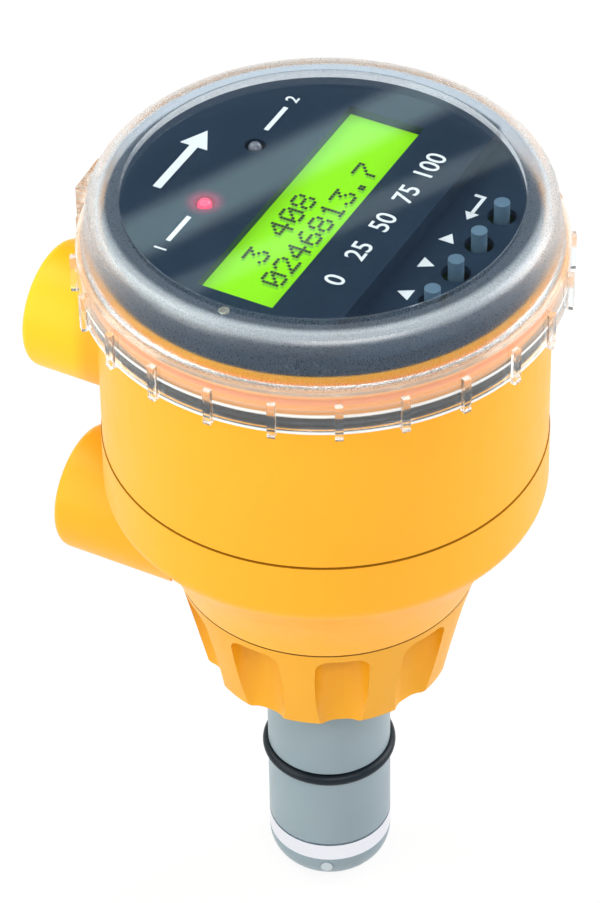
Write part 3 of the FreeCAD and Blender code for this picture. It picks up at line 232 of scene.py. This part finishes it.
def clear_plastic():
    """Clear moulded cover: polished window, textured ring and wall with a painted highlight on the
    shoulder, faintly hazy ribbed skirt with painted highlight lines.

    The skirt's peach tint and lines imitate the threads behind it, and go with it when it lifts.
    """
    n = Nodes("clear_plastic")
    place = n.position()
    radius = n.radius(place)
    height = n.split(place)[2]
    speckle = n.noise(place, 4200.0, 2.0, 0.6)
    clear = n.principled(Base_Color=(0.95, 0.95, 0.97, 1.0), Roughness=0.0, IOR=1.01,
                         Transmission_Weight=1.0, Coat_Weight=1.0, Coat_Roughness=0.015)
    flecks = n.span(speckle, 0.56, 0.68, 1.0, 0.85)
    # Painted highlight: edge makes the ring's outer shoulder whiter and less clear all round.
    edge = n.math("MULTIPLY", n.span(height, 0.1684, 0.1694), n.span(radius, 0.0431, 0.0442))
    frost_and_painted_highlight = n.math("MULTIPLY", flecks, n.math("SUBTRACT", 1.0, n.math("MULTIPLY", edge, 0.27)))
    polish = n.span(height, 0.1655, 0.1680, 0.12, 1.0)
    frost = n.principled(Base_Color=(0.82, 0.90, 0.97, 1.0),
                         Roughness=n.span(speckle, 0.3, 0.7, 0.20, 0.40), IOR=1.22,
                         Transmission_Weight=frost_and_painted_highlight, Coat_Weight=polish, Coat_Roughness=0.27,
                         Normal=n.bump(speckle, 0.10, 0.0002))
    outside = n.math("MULTIPLY", n.span(radius, 0.0492, 0.0494),
                     n.span(radius, 0.0496, 0.0498, 1.0, 0.0))
    # Painted highlights: two white lines low on the skirt's outside and a whiter band at its top, which
    # are less clear there.
    upper_painted_highlight = n.math("MULTIPLY", n.span(height, 0.1530, 0.1533),
                        n.span(height, 0.1538, 0.1541, 1.0, 0.0))
    lower_painted_highlight = n.span(height, 0.1495, 0.1498, 1.0, 0.0)
    sill_painted_highlight = n.math("MULTIPLY", n.span(height, 0.1587, 0.1589), n.span(radius, 0.0480, 0.0482))
    line = n.math("MULTIPLY", n.math("MAXIMUM", upper_painted_highlight, lower_painted_highlight), outside)
    turns = n.math("SINE", n.math("MULTIPLY", height, math.tau / THREAD_PITCH))
    threads = n.span(turns, -0.6, 0.8)
    # The skirt's haze, raised along the top band by its painted highlight.
    haze_and_highlight = n.math("MAXIMUM", n.span(height, *MILK_START, 0.01, 0.19), n.math("MULTIPLY", sill_painted_highlight, 0.36))
    clearness = n.math("SUBTRACT", 1.0, n.math("MAXIMUM", haze_and_highlight, n.math("MULTIPLY", line, 0.75)))
    peach = n.blend(threads, (1.0, 0.66, 0.44), (1.0, 0.84, 0.70))
    tint = n.blend(n.span(height, *MILK_START), (0.94, 0.98, 1.0), peach)
    skirt = n.principled(Base_Color=n.blend(line, tint, (1.0, 1.0, 1.0)), Roughness=0.10,
                         IOR=1.49, Transmission_Weight=clearness)
    upper = n.mix(n.span(radius, *WINDOW_EDGE), clear, frost)
    both = n.mix(n.span(height, *SKIRT_TOP, 1.0, 0.0), upper, skirt)
    path = n.add("ShaderNodeLightPath").outputs
    open_air = n.add("ShaderNodeBsdfTransparent")
    open_air.inputs["Color"].default_value = (0.90, 0.91, 0.92, 1.0)
    unseen = n.math("MAXIMUM", path["Is Shadow Ray"], path["Is Diffuse Ray"])
    return n.finish(n.mix(unseen, both, open_air))


def display_plastic():
    """Dark blue-grey display face, with the red lamp's glow round its hole."""
    n = Nodes("display_plastic")
    place = n.position()
    x, y, _ = n.split(place)
    low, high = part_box("led_red")
    across = n.math("SUBTRACT", x, (low[0] + high[0]) / 2)
    along = n.math("SUBTRACT", y, (low[1] + high[1]) / 2)
    away = n.length(across, along)
    glow = n.span(away, 0.0016, 0.0056, 1.0, 0.0, smooth=True)
    base = n.blend(n.span(n.noise(place, 35.0, 2.0), 0.35, 0.65), srgb(28, 49, 69), srgb(25, 45, 64))
    rough = n.span(n.noise(place, 240.0, 3.0), 0.3, 0.7, 0.40, 0.50)
    lit = n.blend(n.math("MULTIPLY", glow, glow), (0.0, 0.0, 0.0), srgb(214, 40, 96))
    shader = n.principled(Base_Color=base, Roughness=rough, Specular_IOR_Level=0.15,
                          Emission_Color=lit, Emission_Strength=0.55,
                          Normal=n.bump(n.noise(place, 4200.0, 2.0), 0.015, 0.0002))
    return n.finish(shader)


def shaft_plastic():
    """Blue-grey engineering plastic of the shaft and tip."""
    return moulded("shaft_plastic", srgb(133, 151, 161), srgb(128, 146, 157), 0.33)


def turned_metal(name, colour, roughness):
    """Turned metal with fine rings about Z."""
    n = Nodes(name)
    place = n.position()
    stretch = n.add("ShaderNodeMapping")
    n.link(place, stretch.inputs["Vector"])
    stretch.inputs["Scale"].default_value = (12.0, 12.0, 9000.0)
    rings = n.noise(stretch.outputs[0], 1.0, 2.0)
    rough = n.span(rings, 0.3, 0.7, roughness - 0.06, roughness + 0.08)
    shader = n.principled(Base_Color=(*colour, 1.0), Metallic=1.0, Roughness=rough,
                          Normal=n.bump(rings, 0.05, 0.00005))
    return n.finish(shader)


def rubber():
    """Black-blue rubber with a faint bloom."""
    return moulded("black_rubber", srgb(14, 28, 38), srgb(10, 22, 31), 0.38, grain=3000.0, depth=0.03,
                    Specular_IOR_Level=0.22)


def circuit_board():
    """Green solder mask with faint tracks."""
    n = Nodes("board")
    place = n.position()
    tracks = n.add("ShaderNodeTexVoronoi", feature="DISTANCE_TO_EDGE", distance="CHEBYCHEV")
    n.link(place, tracks.inputs["Vector"])
    tracks.inputs["Scale"].default_value = 260.0
    line = n.span(tracks.outputs["Distance"], 0.03, 0.06)
    base = n.blend(line, srgb(30, 120, 60), srgb(12, 84, 42))
    return n.finish(n.principled(Base_Color=base, Roughness=0.35, Coat_Weight=0.3))


def copper():
    """Enamelled copper windings about Z."""
    n = Nodes("copper_wire")
    place = n.position()
    turns = n.add("ShaderNodeTexWave", wave_type="BANDS", bands_direction="Z", wave_profile="SIN")
    n.link(place, turns.inputs["Vector"])
    turns.inputs["Scale"].default_value = 650.0
    base = n.blend(turns.outputs["Fac"], srgb(150, 70, 34), srgb(206, 112, 62))
    shader = n.principled(Base_Color=base, Metallic=0.8, Roughness=0.3,
                          Normal=n.bump(turns.outputs["Fac"], 0.5, 0.0001))
    return n.finish(shader)


def display_screen():
    """Lit yellow-green display: brighter at its middle, with painted shade from the recess towards its
    long edges, faint cell texture.
    """
    n = Nodes("display_screen")
    place = n.position()
    x, y, _ = n.split(place)
    glow = n.span(n.noise(place, 30.0, 1.0), 0.3, 0.7)
    # Painted shade: edge darkens the screen towards its upper and lower edges, where the recess walls
    # shade it.
    edge = n.span(n.math("ABSOLUTE", n.math("SUBTRACT", y, 0.0016)), 0.0045, 0.0098)
    colour = n.blend(glow, srgb(158, 240, 26), srgb(166, 246, 34))
    colour = n.blend(n.math("MULTIPLY", edge, 0.35), colour, srgb(120, 214, 20))
    shader = n.principled(Base_Color=(*srgb(110, 200, 20), 1.0), Roughness=0.25, Emission_Color=colour,
                          Emission_Strength=0.50)
    return n.finish(shader)


def lamp_lens(name, colour, glow, strength):
    """Lamp body: tinted epoxy with a glow inside."""
    n = Nodes(name)
    place = n.position()
    cloud = n.span(n.noise(place, 900.0, 2.0), 0.3, 0.7, 0.85, 1.0)
    base = n.blend(cloud, tuple(value * 0.8 for value in colour), colour)
    shader = n.principled(Base_Color=base, Roughness=0.08, Transmission_Weight=0.35, IOR=1.52,
                          Emission_Color=(*glow, 1.0), Emission_Strength=strength, Coat_Weight=0.6)
    return n.finish(shader)


MATERIALS = {
    "yellow": yellow_plastic("yellow_plastic", (0.97, 0.415, 0.013), (0.95, 0.398, 0.011)),
    # Painted shade: the cap is the housing's yellow plastic, darkened because less light falls on it.
    "cap": yellow_plastic("shaded_yellow_cap", (0.80, 0.366, 0.010), (0.78, 0.352, 0.009)),
    "clear": clear_plastic(),
    "display": display_plastic(),
    "shaft": shaft_plastic(),
    "steel": turned_metal("stainless", (0.83, 0.84, 0.90), 0.28),
    "contact": turned_metal("electrode_metal", (0.56, 0.63, 0.66), 0.30),
    "iron": turned_metal("soft_iron", (0.40, 0.40, 0.42), 0.45),
    "copper": copper(),
    "rubber": rubber(),
    "board": circuit_board(),
    "black": moulded("black_plastic", srgb(30, 31, 34), srgb(24, 25, 28), 0.45),
    "green": moulded("green_plastic", srgb(50, 140, 70), srgb(40, 124, 60), 0.4),
    "button": moulded("button_plastic", srgb(92, 124, 146), srgb(84, 115, 138), 0.42),
    "screen": display_screen(),
    "red": lamp_lens("red_lens", srgb(230, 40, 90), srgb(240, 30, 90), 1.2),
    "lens": lamp_lens("clear_lens", srgb(120, 134, 150), srgb(120, 134, 150), 0.0),
    "gate": moulded("clear_stub", (0.60, 0.62, 0.56), (0.54, 0.56, 0.50), 0.12,
                    Transmission_Weight=0.75),
    "white": moulded("white_print", srgb(242, 250, 252), srgb(236, 246, 250), 0.5),
    "ink": moulded("dark_ink", srgb(8, 26, 16), srgb(6, 22, 13), 0.6),
    "shadow": moulded("ink_shadow", srgb(122, 212, 38), srgb(116, 204, 34), 0.5),
}

NODE_MATERIALS = {
    "yellow": ("lower_housing", "upper_housing"),
    "cap": ("sensor_cap",),
    "clear": ("clear_cover",),
    "display": ("bezel",),
    "shaft": ("sensor_body", "sensor_tip"),
    "contact": ("electrode_1", "electrode_2"),
    "steel": ("ground_ring", "stem_nut", "housing_screws", "board_screws",
              "board_standoffs", "terminal_screws"),
    "iron": ("coil_core",),
    "copper": ("coil_winding",),
    "rubber": ("o_ring_lower", "o_ring_upper", "housing_gasket", "stem_washer", "cover_seal"),
    "board": ("main_board", "display_board", "sensor_board", "lcd_board"),
    "black": ("relay_1", "relay_2", "lcd_header", "button_switches", "led_spacers", "coil_bobbin"),
    "green": ("terminal_block_power", "terminal_block_relays"),
    "button": ("button_up", "button_down", "button_next", "button_enter"),
    "screen": ("lcd_glass", "lcd_backlight"),
    "red": ("led_red",),
    "lens": ("led_clear",),
}

for key, nodes in NODE_MATERIALS.items():
    for node in nodes:
        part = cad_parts[node]
        part.data.materials.clear()
        part.data.materials.append(MATERIALS[key])


# ---------------------------------------------------------------- mesh helpers

def new_piece(name, mesh, material, body):
    """A finished mesh becomes a piece that rides on a body."""
    piece = bpy.data.objects.new(name, mesh)
    scene.collection.objects.link(piece)
    mesh.materials.append(MATERIALS[material])
    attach(piece, body)
    return piece


def from_bmesh(name, shape):
    """A mesh from a bmesh, with outward faces."""
    bmesh.ops.recalc_face_normals(shape, faces=shape.faces)
    mesh = bpy.data.meshes.new(name)
    shape.to_mesh(mesh)
    shape.free()
    return mesh


def add_slab(shape, corners, low, high):
    """A flat prism over an outline of x, y corners, between two heights, in millimetres."""
    bottom = [shape.verts.new((x * MM, y * MM, low * MM)) for x, y in corners]
    top = [shape.verts.new((x * MM, y * MM, high * MM)) for x, y in corners]
    count = len(corners)
    shape.faces.new(bottom[::-1])
    shape.faces.new(top)
    for index in range(count):
        following = (index + 1) % count
        shape.faces.new((bottom[index], bottom[following], top[following], top[index]))


def bevelled(piece, width, segments=2):
    """A small bevel on a piece's edges."""
    modifier = piece.modifiers.new("edge", "BEVEL")
    modifier.width = width
    modifier.segments = segments
    modifier.limit_method = "ANGLE"
    return piece


# ---------------------------------------------------------------- display print

def top_of(node):
    """Height of a node's highest point, in millimetres."""
    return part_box(node)[1][2] / MM


def middle_of(node):
    """X and Y of the middle of a node, in millimetres."""
    low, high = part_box(node)
    return (low[0] + high[0]) / 2 / MM, (low[1] + high[1]) / 2 / MM


FACE = top_of("bezel")
INK = 0.06
BUTTONS = ("button_up", "button_down", "button_next", "button_enter")
DECK = top_of("button_up") - 3.5


def stroke(points, width):
    """Outline of a bent line of a given width, as x, y corners."""
    left, right = [], []
    for index, (x, y) in enumerate(points):
        before = points[max(index - 1, 0)]
        after = points[min(index + 1, len(points) - 1)]
        direction = math.atan2(after[1] - before[1], after[0] - before[0])
        inner = 1.0
        if 0 < index < len(points) - 1:
            first = math.atan2(y - before[1], x - before[0])
            second = math.atan2(after[1] - y, after[0] - x)
            turn = (second - first + math.pi) % (2 * math.pi) - math.pi
            direction = first + turn / 2
            inner = 1 / math.cos(turn / 2)
        nx, ny = -math.sin(direction) * width / 2 * inner, math.cos(direction) * width / 2 * inner
        left.append((x + nx, y + ny))
        right.append((x - nx, y - ny))
    return right + left[::-1]


def printed_text(name, words, x, y, height, surface, align="CENTER"):
    """Plain printed numbers on the display face."""
    curve = bpy.data.curves.new(name, "FONT")
    curve.body = words
    curve.size = height * 1.38 * MM
    curve.align_x = align
    curve.align_y = "CENTER"
    curve.extrude = INK * MM / 2
    curve.offset = 0.00004
    words_object = bpy.data.objects.new(name, curve)
    words_object.location = (x * MM, y * MM, (surface + INK / 2) * MM)
    scene.collection.objects.link(words_object)
    curve.materials.append(MATERIALS["white"])
    bpy.context.view_layer.update()
    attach(words_object, METER)
    return words_object


def print_face():
    """White print: a flow arrow, lamp numbers and a scale."""
    shape = bmesh.new()
    arrow = ((-10.6, 30.9), (4.6, 30.9), (4.6, 28.7), (10.4, 31.8), (4.6, 34.9), (4.6, 32.7),
             (-10.6, 32.7))
    add_slab(shape, arrow, FACE, FACE + INK)
    for side in (-1, 1):
        rule = [(side * x, y) for x, y in ((16.0, 20.9), (24.6, 20.9), (24.6, 21.9), (16.0, 21.9))]
        add_slab(shape, rule if side > 0 else rule[::-1], FACE, FACE + INK)
    new_piece("face_print", from_bmesh("face_print", shape), "white", METER)
    for label, x in (("1", -27.4), ("2", 27.6)):
        printed_text(f"lamp_number_{label}", label, x, 21.4, 2.8, FACE)
    for index, label in enumerate(("0", "25", "50", "75", "100")):
        printed_text(f"scale_{label}", label, -20.6 + index * 10.2, -13.7, 4.3, FACE)


def print_deck():
    """White key symbols on the deck above each button."""
    shape = bmesh.new()
    places = [middle_of(button)[0] for button in BUTTONS]
    y = -25.0
    up, down, right = places[0], places[1], places[2] - 0.8
    add_slab(shape, ((up - 1.7, y - 1.5), (up + 1.7, y - 1.5), (up, y + 1.5)), DECK, DECK + INK)
    add_slab(shape, ((down - 1.7, y + 1.5), (down, y - 1.5), (down + 1.7, y + 1.5)), DECK, DECK + INK)
    add_slab(shape, ((right - 1.4, y - 1.7), (right + 1.4, y), (right - 1.4, y + 1.7)),
             DECK, DECK + INK)
    enter = places[3]
    add_slab(shape, ((enter - 4.2, y - 0.5), (enter - 1.8, y - 2.0), (enter - 1.8, y + 1.0)),
             DECK, DECK + INK)
    bent = ((enter - 2.0, y - 0.5), (enter + 3.7, y - 0.5), (enter + 3.7, y + 1.6))
    add_slab(shape, stroke(bent, 0.75), DECK, DECK + INK)
    new_piece("deck_print", from_bmesh("deck_print", shape), "white", METER)


GATE_ANGLE = 181.0
GATE_REACH = 42.0
GATE_RADIUS = 1.1


def make_gate_nub():
    """The low trimmed stub that moulding leaves on the cover's ring, beside the window."""
    top = top_of("clear_cover")
    angle = math.radians(GATE_ANGLE)
    middle = Vector((GATE_REACH * math.cos(angle), GATE_REACH * math.sin(angle)))
    shape = bmesh.new()
    turns = [index * math.tau / 24 for index in range(24)]
    outline = [(middle.x + GATE_RADIUS * math.cos(turn), middle.y + GATE_RADIUS * math.sin(turn))
               for turn in turns]
    add_slab(shape, outline, top - 0.5, top - 0.02)
    stub = new_piece("cover_gate", from_bmesh("cover_gate", shape), "gate", COVER)
    bevelled(stub, 0.00018, 3)


# Dot-matrix digits, five dots wide and seven high, top row first.
DIGITS = {
    "0": "01110 10001 10011 10101 11001 10001 01110",
    "1": "00100 01100 00100 00100 00100 00100 01110",
    "2": "01110 10001 00001 00010 00100 01000 11111",
    "3": "11111 00010 00100 00010 00001 10001 01110",
    "4": "00010 00110 01010 10010 11111 00010 00010",
    "5": "11111 10000 11110 00001 00001 10001 01110",
    "6": "00110 01000 10000 11110 10001 10001 01110",
    "7": "11111 00001 00010 00100 01000 01000 01000",
    "8": "01110 10001 10001 01110 10001 10001 01110",
    "9": "01110 10001 10001 01111 00001 00010 01100",
    ".": "00000 00000 00000 00000 00000 01100 01100",
}
ROWS = ((" 3 408", 5.0), ("0246813.7", -1.5))
CELL = 4.86
DOT_PITCH = (0.82, 0.72)
DOT_SIZE = (0.70, 0.64)


def display_dots(name, material, height, shift, size):
    """Both rows of the display as small square dots, at a height and a sideways shift."""
    shape = bmesh.new()
    for text, middle in ROWS:
        for place, character in enumerate(text):
            if character == " ":
                continue
            x = -23.2 + place * CELL + shift[0]
            for row, dots in enumerate(DIGITS[character].split()):
                for column, dot in enumerate(dots):
                    if dot == "1":
                        u = x + (column - 2) * DOT_PITCH[0]
                        v = middle + (3 - row) * DOT_PITCH[1] + shift[1]
                        wide, tall = size[0] / 2, size[1] / 2
                        cell = ((u - wide, v - tall), (u + wide, v - tall), (u + wide, v + tall),
                                (u - wide, v + tall))
                        add_slab(shape, cell, height, height + 0.03)
    new_piece(name, from_bmesh(name, shape), material, METER)


def make_display_dots():
    glass = top_of("lcd_glass")
    display_dots("display_shadow", "shadow", glass, (-0.72, -0.38), DOT_SIZE)
    display_dots("display_dots", "ink", glass + 0.04, (0.0, 0.0), DOT_SIZE)


bevelled(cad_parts["clear_cover"], 0.0003)
bevelled(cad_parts["sensor_cap"], 0.0006, 3)
print_face()
print_deck()
make_display_dots()
make_gate_nub()


# ---------------------------------------------------------------- stage, light and camera

FLOOR_WHITE = 0.89
FLOOR_GAP = 0.0002
FLOOR_REACH = 6.0


def make_floor():
    """A plain pale floor that keeps the object's shadow."""
    n = Nodes("pale_floor")
    path = n.add("ShaderNodeLightPath").outputs
    shown = n.math("MAXIMUM", path["Is Glossy Ray"], path["Is Transmission Ray"])
    straight = n.math("LESS_THAN", path["Diffuse Depth"], 0.5)
    seen = n.math("MAXIMUM", path["Is Camera Ray"], n.math("MULTIPLY", shown, straight))
    floor = n.add("ShaderNodeBsdfDiffuse")
    floor.inputs["Color"].default_value = (0.93, 0.93, 0.93, 1.0)
    white = n.add("ShaderNodeEmission")
    white.inputs["Strength"].default_value = 1.0
    material = n.finish(n.mix(n.math("MULTIPLY", seen, FLOOR_WHITE), floor, white))
    shape = bmesh.new()
    level = cad_box[0][2] - FLOOR_GAP
    shape.faces.new([shape.verts.new((x * FLOOR_REACH, y * FLOOR_REACH, level))
                     for x, y in ((-1, -1), (1, -1), (1, 1), (-1, 1))])
    floor_mesh = bpy.data.meshes.new("floor")
    shape.to_mesh(floor_mesh)
    shape.free()
    floor_object = bpy.data.objects.new("floor", floor_mesh)
    floor_mesh.materials.append(material)
    scene.collection.objects.link(floor_object)


AMBIENT = 0.34
SURROUND = 1.0
CEILING = 0.05
# The dim ceiling and the strips are aimed from the camera, at what the window reflects to it.
# Each point is how far across and up it lies in the camera's view, with the distance as 1.
CEILING_MIDDLE = (0.0, 0.05)
UPPER_STRIP = ((-0.0344, 0.0466), (0.0258, 0.0759))
LOWER_STRIP = ((0.0138, 0.0520), (0.0439, 0.0649))
HEADING = math.radians(61.8)
CAMERA_AXES = (math.radians(-0.42), math.radians(40.71), math.radians(-0.96))
CAMERA_PLACE = Vector((0.0, -0.7296, 0.7301))
LENS = 185.19


def camera_frame():
    """The camera's right, up and forward directions and its place, in the meter's frame."""
    yaw, pitch, roll = CAMERA_AXES
    forward = Vector((math.sin(yaw) * math.cos(pitch), math.cos(yaw) * math.cos(pitch),
                      -math.sin(pitch)))
    right = forward.cross(Vector((0, 0, 1))).normalized()
    up = right.cross(forward)
    right, up = (right * math.cos(roll) + up * math.sin(roll),
                 up * math.cos(roll) - right * math.sin(roll))
    turn = Matrix.Rotation(-HEADING, 3, "Z")
    return turn @ right, turn @ up, turn @ forward, turn @ CAMERA_PLACE


def soft_band(n, direction, first, second, width, blur):
    """A soft straight strip of light in the surroundings, through two directions."""
    across = first.cross(second).normalized()
    dot = n.add("ShaderNodeVectorMath", operation="DOT_PRODUCT")
    n.link(direction, dot.inputs[0])
    dot.inputs[1].default_value = across
    return n.span(n.math("ABSOLUTE", dot.outputs["Value"]), width - blur, width + blur, 1.0, 0.0,
                  smooth=True)


def mirrored(dx, dy):
    """Direction that the window reflects towards the camera, for a point across and up in its view."""
    right, up, forward, _ = camera_frame()
    ray = (forward + right * dx + up * dy).normalized()
    return Vector((ray.x, ray.y, -ray.z))


class WorldNodes(Nodes):
    """The world's node tree with the same short calls."""

    def __init__(self, name):
        self.material = bpy.data.worlds.new(name)
        self.material.use_nodes = True
        self.tree = self.material.node_tree
        self.tree.nodes.clear()
        self.output = self.add("ShaderNodeOutputWorld")

    def background(self, strength):
        node = self.add("ShaderNodeBackground")
        node.inputs["Color"].default_value = (1.0, 1.0, 1.0, 1.0)
        self.set(node.inputs["Strength"], strength)
        return node


def make_world():
    """White surroundings with a dim part and two soft strips where the window mirrors the camera."""
    n = WorldNodes("studio")
    scene.world = n.material
    path = n.add("ShaderNodeLightPath").outputs
    direction = n.add("ShaderNodeTexCoord").outputs["Generated"]
    upper = soft_band(n, direction, *[mirrored(*end) for end in UPPER_STRIP], 0.0043, 0.0020)
    lower = soft_band(n, direction, *[mirrored(*end) for end in LOWER_STRIP], 0.0024, 0.0012)
    facing = n.add("ShaderNodeVectorMath", operation="DOT_PRODUCT")
    n.link(direction, facing.inputs[0])
    facing.inputs[1].default_value = mirrored(*CEILING_MIDDLE)
    around = n.span(facing.outputs["Value"], 0.90, 0.975, SURROUND, CEILING, smooth=True)
    near = n.span(facing.outputs["Value"], 0.985, 0.995)
    strips = n.math("ADD", n.math("MULTIPLY", upper, 1.15), n.math("MULTIPLY", lower, 0.60))
    shine = n.math("ADD", around, n.math("MULTIPLY", strips, near))
    plain = n.background(AMBIENT)
    seen = n.background(1.0)
    shiny = n.background(shine)
    n.link(n.blend(n.math("MULTIPLY", strips, near), (1.0, 1.0, 1.0), (0.72, 1.0, 1.0)),
           shiny.inputs["Color"])
    straight = n.math("LESS_THAN", path["Diffuse Depth"], 0.5)
    through = n.math("MULTIPLY", path["Is Transmission Ray"], straight)
    reflected = n.mix(n.math("MAXIMUM", path["Is Glossy Ray"], through), plain, shiny)
    n.finish(n.mix(path["Is Camera Ray"], reflected, seen))


TARGET = Vector((0.0, 0.0, 0.09))


def softbox(name, direction, elevation, distance, width, height, power, tint=(1.0, 1.0, 1.0)):
    """A rectangular area light that points at the object."""
    light = bpy.data.lights.new(name, "AREA")
    light.shape = "RECTANGLE"
    light.size = width
    light.size_y = height
    light.energy = power
    light.color = tint
    lamp = bpy.data.objects.new(name, light)
    scene.collection.objects.link(lamp)
    turn, lift = math.radians(direction), math.radians(elevation)
    away = Vector((math.cos(turn) * math.cos(lift), math.sin(turn) * math.cos(lift), math.sin(lift)))
    facing = away.to_track_quat("Z", "Y").to_matrix().to_4x4()
    lamp.matrix_world = Matrix.Translation(TARGET + away * distance) @ facing
    return lamp


def make_camera():
    """The camera stands in front and to the left of the display and looks down on it."""
    data = bpy.data.cameras.new("camera")
    data.lens = LENS
    data.sensor_width = 36.0
    data.clip_start = 0.05
    camera = bpy.data.objects.new("camera", data)
    scene.collection.objects.link(camera)
    right, up, forward, place = camera_frame()
    axes = Matrix((right, up, -forward)).transposed().to_4x4()
    camera.matrix_world = Matrix.Translation(place) @ axes
    scene.camera = camera


make_floor()
make_world()
softbox("key", 222.0, 48.0, 1.3, 0.9, 0.25, 7.2, (1.0, 0.95, 0.92))
softbox("left", 145.0, 22.0, 1.2, 0.7, 1.0, 6.6, (0.97, 1.0, 0.90))
softbox("left_back", 100.0, 50.0, 1.2, 0.6, 0.8, 6.5, (0.94, 1.0, 0.94))
softbox("right", -45.0, 28.0, 1.2, 0.7, 1.0, 10.0, (0.98, 1.0, 0.97))
softbox("back", 28.0, 72.0, 1.2, 0.9, 0.4, 2.5, (0.90, 1.0, 1.0))
make_camera()

scene.view_settings.view_transform = "Standard"
